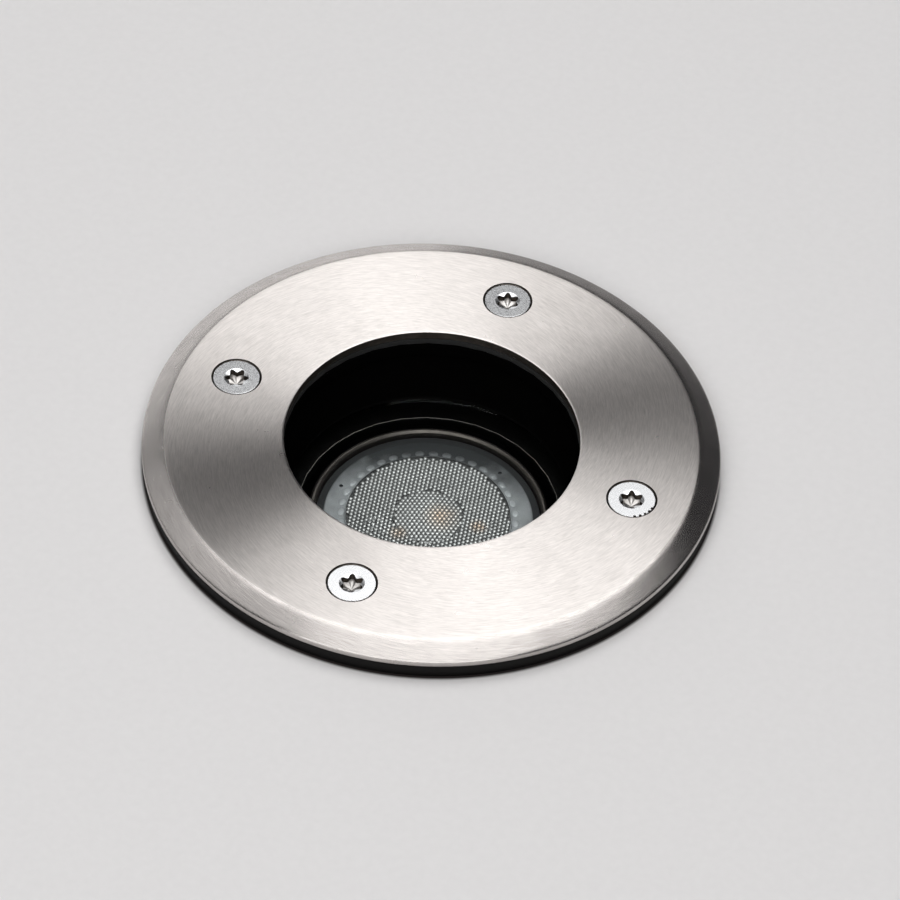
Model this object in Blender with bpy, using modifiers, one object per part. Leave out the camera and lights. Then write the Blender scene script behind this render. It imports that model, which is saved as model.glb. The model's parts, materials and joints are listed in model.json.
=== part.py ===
"""An in-ground spotlight for a ground sleeve, built piece by piece.

Lengths are in metres, +Z is up and the whole light is round about the Z axis. Each
piece is drawn from the top face of the trim ring, z = 0 there, and hangs on an empty
that stands the ground sleeve on the floor.
"""

from math import cos, pi, radians, sin, sqrt

import bmesh
import bpy
from mathutils import Matrix, Vector

# Shared fits
FIT_GAP = 0.0003
CUT_OVERRUN = 0.001
WELD_DISTANCE = 0.000002

# Lamp: a two-pin spot lamp, 50 mm across
LAMP_RADIUS = 0.0248
LAMP_BODY_LENGTH = 0.0465
LAMP_WALL = 0.0013
LAMP_RIM_ROUNDING = 0.0004
LAMP_HEAD_HEIGHT = 0.0045
LAMP_NECK_RADIUS = 0.0141
LAMP_BULGE = 0.0018
LENS_RIM_DEPTH = 0.0011
LENS_DEPTH = 0.0036
LENS_STEP = 0.0005
LENS_EDGE_WIDTH = 0.0016
FROSTED_WIDTH = 0.0044
CENTRE_LENS_RADIUS = 0.00735
CENTRE_LENS_RISE = 0.0009
CENTRE_LENS_CROWN_SHARE = 0.55
CENTRE_LENS_SHOULDER_SHARE = 0.125
COLLIMATOR_RADIUS = 0.0042
COLLIMATOR_FLARE = 0.0024
COLLIMATOR_LENGTH = 0.0016
LED_BOARD_THICKNESS = 0.0016
LED_BOARD_LEDGE = 0.0012
LED_RADIUS = 0.0045
LED_HEIGHT = 0.0009
DRIVER_HALF_WIDTH = 0.0085
DRIVER_THICKNESS = 0.0016
DRIVER_HEADROOM = 0.0024
BASE_SPIGOT_HEIGHT = 0.0038
BASE_STRAIGHT_HEIGHT = 0.0070
BASE_TAPER_HEIGHT = 0.0037
BASE_FACE_RADIUS = 0.0118
PIN_CIRCLE_RADIUS = 0.0050
PIN_RADIUS = 0.0014
PIN_KNOB_RADIUS = 0.0024
PIN_KNOB_HEIGHT = 0.0020
PIN_LENGTH = 0.0075
PIN_ROOT_LENGTH = 0.0034
PIN_CLEARANCE = 0.0003

# Lampholder: glazed ceramic with two bayonet tracks
LAMP_TWIST = radians(18)
HOLDER_RADIUS = 0.0145
HOLDER_HEIGHT = 0.0160
HOLDER_CHAMFER = 0.0008
HOLDER_TOP_PLATE = 0.0032
TRACK_CLEARANCE = 0.0004
KNOB_CLEARANCE = 0.0005
TRACK_FLOOR_DEPTH = 0.0016
TRACK_STEPS = 5
PIN_COUNT = 2
CONTACT_THICKNESS = 0.0008
LEAD_RADIUS = 0.0010
LEAD_HOLE_CLEARANCE = 0.0006
HOLDER_SCREW_OFFSET = 0.0102
HOLDER_SCREW_RADIUS = 0.0014
HOLDER_SCREW_HEAD_RADIUS = 0.0027
HOLDER_SCREW_HEAD_HEIGHT = 0.0022
HOLDER_NUT_WIDTH = 0.0014
HOLDER_NUT_HEIGHT = 0.0024
SCREW_CLEARANCE = 0.0003
SCREW_TAIL = 0.0010

# Recess: glass at its bottom, baffle wall round it, hole of the trim ring over it
LAMP_CLEARANCE = 0.0020
RETAINER_WIDTH = 0.0048
RETAINER_HEIGHT = 0.0022
RETAINER_CHAMFER = 0.0002
RETAINER_NOTCH_WIDTH = 0.0030
RETAINER_NOTCH_DEPTH = 0.0010
RETAINER_NOTCH_COUNT = 4
GLASS_THICKNESS = 0.0030
GLASS_CHAMFER = 0.0004
GLASS_SEAT_WIDTH = 0.0030
GLASS_SEAL_THICKNESS = 0.0008
GLASS_LAMP_GAP = 0.0009
RECESS_DEPTH = 0.0176
RECESS_FLARE = 0.0014
RECESS_SHADOW_STEP = 0.0010
BAFFLE_MOUTH_CLEARANCE = 0.0002
BAFFLE_COLLAR_DEPTH = 0.0070
BAFFLE_WALL = 0.0016
BAFFLE_FLANGE_WIDTH = 0.0034
BAFFLE_FLANGE_THICKNESS = 0.0016

# Trim ring and its screws
TRIM_THICKNESS = 0.0032
TRIM_LIP_THICKNESS = 0.00185
TRIM_EDGE_THICKNESS = 0.00105
TRIM_BEVEL_WIDTH = 0.0045
TRIM_HOLE_ROUNDING = 0.0002
TRIM_OVERHANG = 0.0019
TRIM_GASKET_THICKNESS = 0.0013
SCREW_COUNT = 4
SCREW_TO_HOLE = 0.0130
TRIM_SCREW_RADIUS = 0.00235
TRIM_SCREW_HEAD_RADIUS = 0.00477
TRIM_SCREW_HEAD_LAND = 0.00035
TRIM_SCREW_SINK = 0.00015
TRIM_SCREW_LENGTH = 0.0150
COUNTERSINK_CLEARANCE = 0.0004
SOCKET_RADIUS = 0.00190
SOCKET_LOBE = 0.00032
SOCKET_LOBE_COUNT = 6
SOCKET_LOBE_STEPS = 4
SOCKET_DEPTH = 0.0021
SOCKET_LEAD_IN = 0.00035
INSERT_WALL = 0.0010
INSERT_LENGTH = 0.0100

# Housing: moulded cup that hangs the luminaire in the sleeve
BOSS_WALL = 0.00205
BOSS_LENGTH = 0.0150
BOSS_HOLE_TAIL = 0.0012
BAFFLE_CLEARANCE = 0.0009
HOUSING_WALL = 0.0028
HOUSING_FLANGE_THICKNESS = 0.0022
SEAT_CLEARANCE = 0.0004
FLANGE_SEAL_THICKNESS = 0.0010
NECK_WALL = 0.0032
NECK_DEPTH = 0.0050
NECK_TAPER = 0.0035
GUSSET_THICKNESS = 0.0020
BARREL_STEP = 0.0044
BARREL_STEP_DEPTH = 0.0600
HOUSING_FLOOR = 0.0030
HOUSING_FOOT_CHAMFER = 0.0012
POST_WALL = 0.0026
POST_BLEND = 0.0006
HOLDER_PLATE_THICKNESS = 0.0015
HOLDER_PLATE_CLEARANCE = 0.0006
HOLDER_PLATE_HALF_WIDTH = 0.0140
HOLDER_PLATE_WINDOW = 0.0074
HOLDER_PLATE_EDGE_STEPS = 8
PLATE_SCREW_RADIUS = 0.0015
PLATE_SCREW_HEAD_RADIUS = 0.0029
PLATE_SCREW_HEAD_HEIGHT = 0.0020
PLATE_SCREW_LENGTH = 0.0085
WIRING_SPACE = 0.0145

# Terminal block on the housing floor
BLOCK_LENGTH = 0.0240
BLOCK_WIDTH = 0.0130
BLOCK_HEIGHT = 0.0094
BLOCK_OFFSET = 0.0150
BLOCK_POLE_OFFSET = 0.0065
BLOCK_WIRE_HOLE = 0.0013
BLOCK_WIRE_HEIGHT = 0.0034
BLOCK_EDGE = 0.0006
TERMINAL_SCREW_RADIUS = 0.0016
TERMINAL_SCREW_LENGTH = 0.0040
TERMINAL_SCREW_SINK = 0.0008
BLOCK_SCREW_RADIUS = 0.0012
BLOCK_SCREW_HEAD_RADIUS = 0.0023
BLOCK_SCREW_HEAD_HEIGHT = 0.0015
BLOCK_SCREW_BITE = 0.0022

# Cable gland through the housing floor
GLAND_OFFSET = 0.0120
GLAND_THREAD_RADIUS = 0.0079
GLAND_BORE_WALL = 0.0029
GLAND_HEX_WIDTH = 0.0036
GLAND_HEX_HEIGHT = 0.0055
GLAND_MOUTH_WALL = 0.0019
GLAND_MOUTH_LENGTH = 0.0078
GLAND_TUBE_LENGTH = 0.0085
GLAND_WASHER_THICKNESS = 0.0015
GLAND_WASHER_WIDTH = 0.0026
LOCKNUT_HEIGHT = 0.0045
GLAND_NUT_HEIGHT = 0.0145
GLAND_NUT_LIP = 0.0005
GLAND_SEAL_WALL = 0.0021
GLAND_SEAL_LENGTH = 0.0070
GLAND_DOME_SHARES = ((1, 0), (1 / 3, 1 / 4), (0, 2 / 3))
HEXAGON = 6

# Ground sleeve: ribbed moulded tube with a brim that lies on the ground
BOSS_SLEEVE_CLEARANCE = 0.0012
SLEEVE_LEDGE_WIDTH = 0.0018
SLEEVE_WALL = 0.0022
SLEEVE_BRIM_WIDTH = 0.0026
SLEEVE_BRIM_THICKNESS = 0.0020
SLEEVE_COLLAR_TAPER = 0.0020
SLEEVE_DRAFT = 0.0018
SLEEVE_RIB_COUNT = 8
SLEEVE_RIB_HEIGHT = 0.0019
SLEEVE_RIB_THICKNESS = 0.0018
SLEEVE_RIB_SETBACK = 0.0040
SLEEVE_FOOT_WIDTH = 0.0106
HOOP_HEIGHT = 0.0026
HOOP_DEPTH_SHARES = (0.42, 0.70)
CABLE_WINDOW_HALF_WIDTH = 0.0100
CABLE_WINDOW_HEIGHT = 0.0240
CABLE_WINDOW_SILL = 0.0070
CABLE_BEND_SPACE = 0.0220

# Facets round a full turn
TRIM_STEPS = 64
WIDE_STEPS = 44
ROUND_STEPS = 32
SMALL_STEPS = 16
TINY_STEPS = 10
CORNER_ANGLE = radians(32)

# Radii that follow from the lamp outwards
retainer_bore = LAMP_RADIUS + LAMP_CLEARANCE
glass_radius = retainer_bore + RETAINER_WIDTH
seat_opening = glass_radius - GLASS_SEAT_WIDTH
hole_radius = seat_opening + RECESS_FLARE
skirt_bore = glass_radius + FIT_GAP
skirt_radius = skirt_bore + BAFFLE_WALL
baffle_flange_radius = skirt_radius + BAFFLE_FLANGE_WIDTH
counterbore_radius = baffle_flange_radius + SEAT_CLEARANCE
barrel_bore = skirt_radius + BAFFLE_CLEARANCE
screw_circle = hole_radius + SCREW_TO_HOLE
insert_radius = TRIM_SCREW_RADIUS + FIT_GAP + INSERT_WALL
boss_hole_radius = insert_radius + FIT_GAP
boss_radius = boss_hole_radius + BOSS_WALL
sleeve_bore = screw_circle + boss_radius + BOSS_SLEEVE_CLEARANCE
rebate_radius = sleeve_bore + SLEEVE_LEDGE_WIDTH
housing_flange_radius = rebate_radius - SEAT_CLEARANCE
sleeve_collar_radius = rebate_radius + SLEEVE_WALL
brim_radius = sleeve_collar_radius + SLEEVE_BRIM_WIDTH
trim_radius = brim_radius + TRIM_OVERHANG
flat_radius = trim_radius - TRIM_BEVEL_WIDTH
chamber_bore = barrel_bore - BARREL_STEP
chamber_radius = chamber_bore + HOUSING_WALL
post_hole_radius = PLATE_SCREW_RADIUS + SCREW_CLEARANCE
post_radius = post_hole_radius + POST_WALL
post_circle = chamber_bore + POST_BLEND - post_radius
tie_hole_radius = HOLDER_SCREW_RADIUS + SCREW_CLEARANCE
holder_nut_radius = tie_hole_radius + HOLDER_NUT_WIDTH
gland_hex_radius = GLAND_THREAD_RADIUS + GLAND_HEX_WIDTH
gland_bore = GLAND_THREAD_RADIUS - GLAND_BORE_WALL
gland_mouth_radius = GLAND_THREAD_RADIUS - GLAND_MOUTH_WALL
gland_seal_radius = gland_mouth_radius - FIT_GAP
gland_nut_mouth = gland_bore - GLAND_NUT_LIP

# Levels that follow from the trim ring downwards
gasket_top = -TRIM_LIP_THICKNESS - FIT_GAP
gasket_foot = gasket_top - TRIM_GASKET_THICKNESS
baffle_top = gasket_foot - FIT_GAP
baffle_flange_foot = baffle_top - BAFFLE_FLANGE_THICKNESS
flange_seal_top = baffle_flange_foot - FIT_GAP
flange_seal_foot = flange_seal_top - FLANGE_SEAL_THICKNESS
counterbore_floor = flange_seal_foot - FIT_GAP
housing_top = -TRIM_THICKNESS - FIT_GAP
housing_flange_foot = housing_top - HOUSING_FLANGE_THICKNESS
seat_level = -RECESS_DEPTH
glass_seal_top = seat_level - FIT_GAP
glass_seal_foot = glass_seal_top - GLASS_SEAL_THICKNESS
glass_top = glass_seal_foot - FIT_GAP
glass_foot = glass_top - GLASS_THICKNESS
retainer_top = glass_foot - FIT_GAP
retainer_foot = retainer_top - RETAINER_HEIGHT
lamp_top = glass_foot - GLASS_LAMP_GAP
lens_shelf = lamp_top - LENS_DEPTH - FIT_GAP
lamp_face = lamp_top - LAMP_BODY_LENGTH
base_top = lamp_face + BASE_TAPER_HEIGHT + BASE_STRAIGHT_HEIGHT
neck_foot = base_top + FIT_GAP
pin_foot = lamp_face - PIN_LENGTH
holder_top = lamp_face - FIT_GAP
holder_foot = holder_top - HOLDER_HEIGHT
track_roof = holder_top - HOLDER_TOP_PLATE
track_floor = pin_foot - TRACK_FLOOR_DEPTH
contact_foot = track_floor + FIT_GAP
plate_top = holder_foot - FIT_GAP
plate_foot = plate_top - HOLDER_PLATE_THICKNESS
post_top = plate_foot - FIT_GAP
floor_top = plate_foot - WIRING_SPACE
floor_foot = floor_top - HOUSING_FLOOR
boss_foot = housing_top - HOUSING_FLANGE_THICKNESS - BOSS_LENGTH
step_level = -BARREL_STEP_DEPTH
block_foot = floor_top + FIT_GAP
washer_top = floor_foot - FIT_GAP
washer_foot = washer_top - GLAND_WASHER_THICKNESS
gland_hex_top = washer_foot - FIT_GAP
gland_hex_foot = gland_hex_top - GLAND_HEX_HEIGHT
gland_tube_foot = gland_hex_foot - GLAND_TUBE_LENGTH
gland_nut_top = gland_hex_foot - FIT_GAP
gland_nut_foot = gland_nut_top - GLAND_NUT_HEIGHT
sleeve_foot = gland_nut_foot - CABLE_BEND_SPACE

for leftover in list(bpy.data.objects):
    bpy.data.objects.remove(leftover, do_unlink=True)

PIECES = bpy.data.collections.new("in_ground_spotlight")
CUTTERS = bpy.data.collections.new("cutters")
bpy.context.scene.collection.children.link(PIECES)
bpy.context.scene.collection.children.link(CUTTERS)

stand = bpy.data.objects.new("sleeve_stand", None)
stand.location.z = -sleeve_foot
PIECES.objects.link(stand)


def place(name, mesh, home=PIECES):
    """Hang a mesh on the stand as a piece, or as a hidden cutter or joiner."""
    item = bpy.data.objects.new(name, mesh)
    item.parent = stand
    home.objects.link(item)
    if home is CUTTERS:
        item.hide_render = True
        item.display_type = 'WIRE'
    return item


def smooth(mesh):
    """Shade the round faces smooth and keep the corners crisp."""
    mesh.shade_smooth()
    mesh.set_sharp_from_angle(angle=CORNER_ANGLE)


def settle(item):
    """Turn an object's modifiers, or a curve, into a plain mesh of its own."""
    graph = bpy.context.evaluated_depsgraph_get()
    mesh = bpy.data.meshes.new_from_object(item.evaluated_get(graph))
    mesh.name = item.name
    shell = bmesh.new()
    shell.from_mesh(mesh)
    bmesh.ops.remove_doubles(shell, verts=shell.verts, dist=WELD_DISTANCE)
    bmesh.ops.recalc_face_normals(shell, faces=shell.faces)
    shell.to_mesh(mesh)
    shell.free()
    return mesh


def turned_mesh(name, profile, steps):
    """Turn a profile of (radius, z) points, outer side first, about the Z axis."""
    last = len(profile) - 1
    edges = [(step, step + 1) for step in range(last)]
    if profile[0][0] > 0:
        edges.append((last, 0))
    outline = bpy.data.meshes.new(name)
    outline.from_pydata([(radius, 0, z) for radius, z in profile], edges, [])
    blank = bpy.data.objects.new(name + "_profile", outline)
    CUTTERS.objects.link(blank)
    turn = blank.modifiers.new("turn", 'SCREW')
    turn.steps = steps
    turn.render_steps = steps
    turn.use_merge_vertices = True
    turn.merge_threshold = WELD_DISTANCE
    mesh = settle(blank)
    bpy.data.objects.remove(blank)
    smooth(mesh)
    return mesh


def turned(name, profile, steps=ROUND_STEPS, home=PIECES):
    return place(name, turned_mesh(name, profile, steps), home)


def prism_mesh(name, outlines, low, high):
    """Fill a flat outline of (x, y) points, later outlines being holes, from low to high."""
    drawing = bpy.data.curves.new(name, 'CURVE')
    drawing.dimensions = '2D'
    drawing.fill_mode = 'BOTH'
    drawing.extrude = (high - low) / 2
    for outline in outlines:
        spline = drawing.splines.new('POLY')
        spline.points.add(len(outline) - 1)
        for point, (x, y) in zip(spline.points, outline):
            point.co = (x, y, 0, 1)
        spline.use_cyclic_u = True
    guide = bpy.data.objects.new(name + "_outline", drawing)
    CUTTERS.objects.link(guide)
    mesh = settle(guide)
    mesh.transform(Matrix.Translation((0, 0, (low + high) / 2)))
    bpy.data.objects.remove(guide)
    bpy.data.curves.remove(drawing)
    smooth(mesh)
    return mesh


def prism(name, outlines, low, high, home=PIECES):
    return place(name, prism_mesh(name, outlines, low, high), home)


def rod_mesh(name, radius, low, high, steps=TINY_STEPS, top_radius=None):
    """A cylinder, cone or hexagon on the Z axis from low to high."""
    shape = bmesh.new()
    end = radius if top_radius is None else top_radius
    middle = Matrix.Translation((0, 0, (low + high) / 2))
    bmesh.ops.create_cone(shape, cap_ends=True, segments=steps, radius1=radius, radius2=end,
                          depth=high - low, matrix=middle)
    mesh = bpy.data.meshes.new(name)
    shape.to_mesh(mesh)
    shape.free()
    smooth(mesh)
    return mesh


def box_mesh(name, low, high):
    """A box between two corners."""
    low, high = Vector(low), Vector(high)
    shape = bmesh.new()
    bmesh.ops.create_cube(shape, size=1)
    span = high - low
    shape.transform(Matrix.Translation((low + high) / 2) @ Matrix.Diagonal((*span, 1)))
    mesh = bpy.data.meshes.new(name)
    shape.to_mesh(mesh)
    shape.free()
    return mesh


def gathered(name, meshes_and_places, home=CUTTERS):
    """One object that holds a copy of each mesh at its place."""
    whole = bmesh.new()
    for mesh, matrix in meshes_and_places:
        copy = mesh.copy()
        copy.transform(matrix)
        whole.from_mesh(copy)
        bpy.data.meshes.remove(copy)
    mesh = bpy.data.meshes.new(name)
    whole.to_mesh(mesh)
    whole.free()
    return place(name, mesh, home)


def around(count, radius=0, start=0):
    """Places spread evenly on a circle about the Z axis, each turned to face out."""
    return [Matrix.Rotation(start + 2 * pi * turn / count, 4, 'Z') @ Matrix.Translation((radius, 0, 0))
            for turn in range(count)]


def at(x, y, z=0):
    return Matrix.Translation((x, y, z))


def join(item, *tools):
    for tool in tools:
        step = item.modifiers.new("join_" + tool.name, 'BOOLEAN')
        step.operation = 'UNION'
        step.object = tool


def cut(item, *tools):
    for tool in tools:
        step = item.modifiers.new("cut_" + tool.name, 'BOOLEAN')
        step.operation = 'DIFFERENCE'
        step.object = tool


def finish(item, name, colour, roughness, metallic=0.0, alpha=1.0):
    """Give a piece its own plain material."""
    material = bpy.data.materials.new(name)
    material.use_nodes = True
    shader = material.node_tree.nodes["Principled BSDF"]
    shader.inputs["Base Color"].default_value = (*colour, 1.0)
    shader.inputs["Roughness"].default_value = roughness
    shader.inputs["Metallic"].default_value = metallic
    shader.inputs["Alpha"].default_value = alpha
    item.data.materials.clear()
    item.data.materials.append(material)


def circle(radius, steps, x=0, y=0):
    return [(x + radius * cos(2 * pi * step / steps), y + radius * sin(2 * pi * step / steps))
            for step in range(steps)]


def track(radius, half_width, turn, steps=TRACK_STEPS):
    """Outline of a curved slot about the origin, from angle 0 to turn, with round ends."""
    points = []
    for step in range(steps + 1):
        angle = turn * step / steps
        points.append(((radius + half_width) * cos(angle), (radius + half_width) * sin(angle)))
    end = Vector((radius * cos(turn), radius * sin(turn)))
    for step in range(1, steps + 1):
        angle = turn + pi * step / (steps + 1)
        points.append((end.x + half_width * cos(angle), end.y + half_width * sin(angle)))
    for step in range(steps + 1):
        angle = turn * (1 - step / steps)
        points.append(((radius - half_width) * cos(angle), (radius - half_width) * sin(angle)))
    for step in range(1, steps + 1):
        angle = pi + pi * step / (steps + 1)
        points.append((radius + half_width * cos(angle), half_width * sin(angle)))
    return points


def make_trim_ring():
    """Brushed steel ring: flat top, turned bevel to a thin edge, recess for the gasket."""
    inner_top = hole_radius + TRIM_HOLE_ROUNDING
    edge_top = TRIM_EDGE_THICKNESS - TRIM_THICKNESS
    profile = [
        (flat_radius, 0),
        (trim_radius, edge_top),
        (trim_radius, -TRIM_THICKNESS),
        (counterbore_radius, -TRIM_THICKNESS),
        (counterbore_radius, -TRIM_LIP_THICKNESS),
        (hole_radius, -TRIM_LIP_THICKNESS),
        (hole_radius, -TRIM_HOLE_ROUNDING),
        (inner_top, 0),
    ]
    ring = turned("trim_ring", profile, TRIM_STEPS)
    mouth = TRIM_SCREW_HEAD_RADIUS + COUNTERSINK_CLEARANCE
    shank = TRIM_SCREW_RADIUS + COUNTERSINK_CLEARANCE
    land = -TRIM_SCREW_HEAD_LAND
    countersink = [
        (0, CUT_OVERRUN),
        (mouth, CUT_OVERRUN),
        (mouth, land),
        (shank, land - (mouth - shank)),
        (shank, -TRIM_THICKNESS - CUT_OVERRUN),
        (0, -TRIM_THICKNESS - CUT_OVERRUN),
    ]
    sink = turned_mesh("countersink", countersink, SMALL_STEPS)
    places = around(SCREW_COUNT, screw_circle)
    cut(ring, gathered("countersinks", [(sink, spot) for spot in places]))
    finish(ring, "trim_ring", (0.62, 0.60, 0.58), 0.32, 1.0)


def socket_outline():
    """Six-lobed drive socket."""
    steps = SOCKET_LOBE_COUNT * SOCKET_LOBE_STEPS
    points = []
    for step in range(steps):
        angle = 2 * pi * step / steps
        radius = SOCKET_RADIUS + SOCKET_LOBE * cos(SOCKET_LOBE_COUNT * angle)
        points.append((radius * cos(angle), radius * sin(angle)))
    return points


def make_trim_screws():
    """Four countersunk machine screws with a six-lobed socket."""
    top = -TRIM_SCREW_SINK
    land = top - TRIM_SCREW_HEAD_LAND
    neck = land - (TRIM_SCREW_HEAD_RADIUS - TRIM_SCREW_RADIUS)
    foot = top - TRIM_SCREW_LENGTH
    profile = [
        (0, top),
        (TRIM_SCREW_HEAD_RADIUS, top),
        (TRIM_SCREW_HEAD_RADIUS, land),
        (TRIM_SCREW_RADIUS, neck),
        (TRIM_SCREW_RADIUS, foot + SCREW_CLEARANCE),
        (TRIM_SCREW_RADIUS - SCREW_CLEARANCE, foot),
        (0, foot),
    ]
    pattern = turned("screw_pattern", profile, SMALL_STEPS, CUTTERS)
    socket = prism("socket", [socket_outline()], top - SOCKET_DEPTH, top + CUT_OVERRUN, CUTTERS)
    wide = SOCKET_RADIUS + SOCKET_LOBE + SOCKET_LEAD_IN
    lead_in = [
        (0, top + CUT_OVERRUN),
        (wide, top + CUT_OVERRUN),
        (wide, top),
        (wide - 2 * SOCKET_LEAD_IN, top - 2 * SOCKET_LEAD_IN),
        (0, top - 2 * SOCKET_LEAD_IN),
    ]
    cut(pattern, socket, turned("socket_lead_in", lead_in, SMALL_STEPS, CUTTERS))
    mesh = settle(pattern)
    smooth(mesh)
    for number, spot in enumerate(around(SCREW_COUNT, screw_circle), 1):
        screw = place(f"trim_screw_{number}", mesh)
        screw.matrix_basis = spot
    finish(screw, "trim_screw", (0.68, 0.68, 0.67), 0.2, 1.0)


def make_trim_gasket():
    """Flat rubber ring between the trim ring and the baffle flange."""
    profile = [
        (baffle_flange_radius, gasket_top),
        (baffle_flange_radius, gasket_foot),
        (hole_radius + BAFFLE_MOUTH_CLEARANCE, gasket_foot),
        (hole_radius + BAFFLE_MOUTH_CLEARANCE, gasket_top),
    ]
    finish(turned("trim_gasket", profile), "trim_gasket", (0.02, 0.02, 0.02), 0.75)


def make_baffle_tube():
    """Black tube that shades the lamp: flange at the top, seat for the glass at the bottom."""
    mouth = hole_radius + BAFFLE_MOUTH_CLEARANCE
    shadow = mouth + RECESS_SHADOW_STEP
    profile = [
        (baffle_flange_radius, baffle_top),
        (baffle_flange_radius, baffle_flange_foot),
        (skirt_radius, baffle_flange_foot),
        (skirt_radius, retainer_foot),
        (skirt_bore, retainer_foot),
        (skirt_bore, seat_level),
        (seat_opening, seat_level),
        (shadow, -BAFFLE_COLLAR_DEPTH - RECESS_SHADOW_STEP),
        (mouth, -BAFFLE_COLLAR_DEPTH),
        (mouth, baffle_top),
    ]
    finish(turned("baffle_tube", profile, WIDE_STEPS), "baffle_tube", (0.012, 0.012, 0.013), 0.45)


def make_glass():
    """Toughened glass disc with its seal above and the ring that holds it below."""
    edge = glass_radius - GLASS_CHAMFER
    disc = [
        (0, glass_top),
        (edge, glass_top),
        (glass_radius, glass_top - GLASS_CHAMFER),
        (glass_radius, glass_foot + GLASS_CHAMFER),
        (edge, glass_foot),
        (0, glass_foot),
    ]
    finish(turned("glass_disc", disc), "glass_disc", (0.85, 0.9, 0.88), 0.05, 0.0, 0.3)
    inner = seat_opening + SEAT_CLEARANCE
    seal = [
        (glass_radius, glass_seal_top),
        (glass_radius, glass_seal_foot),
        (inner, glass_seal_foot),
        (inner, glass_seal_top),
    ]
    finish(turned("glass_seal", seal), "glass_seal", (0.03, 0.03, 0.03), 0.7)
    ring = [
        (glass_radius, retainer_top),
        (glass_radius, retainer_foot),
        (retainer_bore, retainer_foot),
        (retainer_bore, retainer_top - RETAINER_CHAMFER),
        (retainer_bore + RETAINER_CHAMFER, retainer_top),
    ]
    retainer = turned("glass_retainer", ring)
    half = RETAINER_NOTCH_WIDTH / 2
    notch = box_mesh("notch", (-half, -half, retainer_foot - CUT_OVERRUN),
                     (half, half, retainer_foot + RETAINER_NOTCH_DEPTH))
    places = around(RETAINER_NOTCH_COUNT, (retainer_bore + glass_radius) / 2)
    cut(retainer, gathered("retainer_notches", [(notch, spot) for spot in places]))
    finish(retainer, "glass_retainer", (0.02, 0.02, 0.02), 0.5)


def make_lamp_shell():
    """Hollow lamp body: straight head with a rolled rim, then a bulging taper to the neck."""
    head_foot = lamp_top - LAMP_HEAD_HEIGHT
    taper_height = head_foot - neck_foot
    neck_bore = LAMP_NECK_RADIUS - LAMP_WALL
    lens_bore = LAMP_RADIUS - LAMP_WALL
    board_bore = lens_bore - LENS_EDGE_WIDTH - LAMP_WALL
    board_ledge = lens_shelf - COLLIMATOR_LENGTH - LED_HEIGHT - LED_BOARD_THICKNESS - 3 * FIT_GAP
    taper_shares = (0.25, 0.5, 0.75)
    outer = [(LAMP_RADIUS - LAMP_RIM_ROUNDING, lamp_top), (LAMP_RADIUS, lamp_top - LAMP_RIM_ROUNDING),
             (LAMP_RADIUS, head_foot)]
    for share in taper_shares:
        radius = LAMP_RADIUS + (LAMP_NECK_RADIUS - LAMP_RADIUS) * share
        bulge = LAMP_BULGE * sin(pi * share)
        outer.append((radius + bulge, head_foot - taper_height * share))
    outer.append((LAMP_NECK_RADIUS, neck_foot))
    inner = [(neck_bore, neck_foot)]
    for share in reversed(taper_shares[1:]):
        radius = LAMP_RADIUS + (LAMP_NECK_RADIUS - LAMP_RADIUS) * share
        bulge = LAMP_BULGE * sin(pi * share)
        inner.append((radius + bulge - LAMP_WALL, head_foot - taper_height * share))
    inner += [
        (board_bore - LED_BOARD_LEDGE, board_ledge - LED_BOARD_LEDGE),
        (board_bore - LED_BOARD_LEDGE, board_ledge),
        (board_bore, board_ledge),
        (board_bore, lens_shelf),
        (lens_bore, lens_shelf),
        (lens_bore, lamp_top),
    ]
    finish(turned("lamp_shell", outer + inner), "lamp_shell", (0.55, 0.54, 0.52), 0.4)
    return board_bore - FIT_GAP, board_ledge + FIT_GAP


def make_lamp_optics(board_radius, board_foot):
    """Moulded front lens with a frosted border, and the light source on its board below."""
    outer = LAMP_RADIUS - LAMP_WALL - FIT_GAP
    frosted = outer - LENS_EDGE_WIDTH
    field = frosted - FROSTED_WIDTH
    border_top = lamp_top - LENS_RIM_DEPTH
    field_rise = border_top + LENS_STEP / 2
    inner_rise = field_rise + LENS_STEP / 2
    lens_foot = lamp_top - LENS_DEPTH
    tip = lens_foot - COLLIMATOR_LENGTH
    crown = inner_rise + CENTRE_LENS_RISE / 2
    crown_radius = CENTRE_LENS_RADIUS * CENTRE_LENS_CROWN_SHARE
    shoulder = CENTRE_LENS_RISE * CENTRE_LENS_SHOULDER_SHARE
    profile = [
        (0, crown),
        (crown_radius, crown - shoulder),
        (CENTRE_LENS_RADIUS, inner_rise + shoulder),
        (CENTRE_LENS_RADIUS, inner_rise - shoulder),
        (field, field_rise - LENS_STEP / 4),
        (field, border_top),
        (frosted, border_top),
        (outer, border_top - LENS_STEP),
        (outer, lens_foot),
        (COLLIMATOR_RADIUS + COLLIMATOR_FLARE, lens_foot),
        (COLLIMATOR_RADIUS, tip),
        (0, tip),
    ]
    finish(turned("lamp_lens", profile), "lamp_lens", (0.6, 0.62, 0.62), 0.2)
    board_top = board_foot + LED_BOARD_THICKNESS
    board = rod_mesh("led_board", board_radius, board_foot, board_top, ROUND_STEPS)
    finish(place("led_board", board), "led_board", (0.8, 0.8, 0.78), 0.5)
    chip_foot = board_top + FIT_GAP
    chip = rod_mesh("led_chip", LED_RADIUS, chip_foot, chip_foot + LED_HEIGHT, SMALL_STEPS)
    finish(place("led_chip", chip), "led_chip", (0.85, 0.6, 0.12), 0.4)
    low = (-DRIVER_HALF_WIDTH, -DRIVER_THICKNESS / 2, base_top + BASE_SPIGOT_HEIGHT + FIT_GAP)
    high = (DRIVER_HALF_WIDTH, DRIVER_THICKNESS / 2, board_foot - DRIVER_HEADROOM)
    driver = place("driver_board", box_mesh("driver_board", low, high))
    finish(driver, "driver_board", (0.05, 0.22, 0.1), 0.5)


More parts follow.
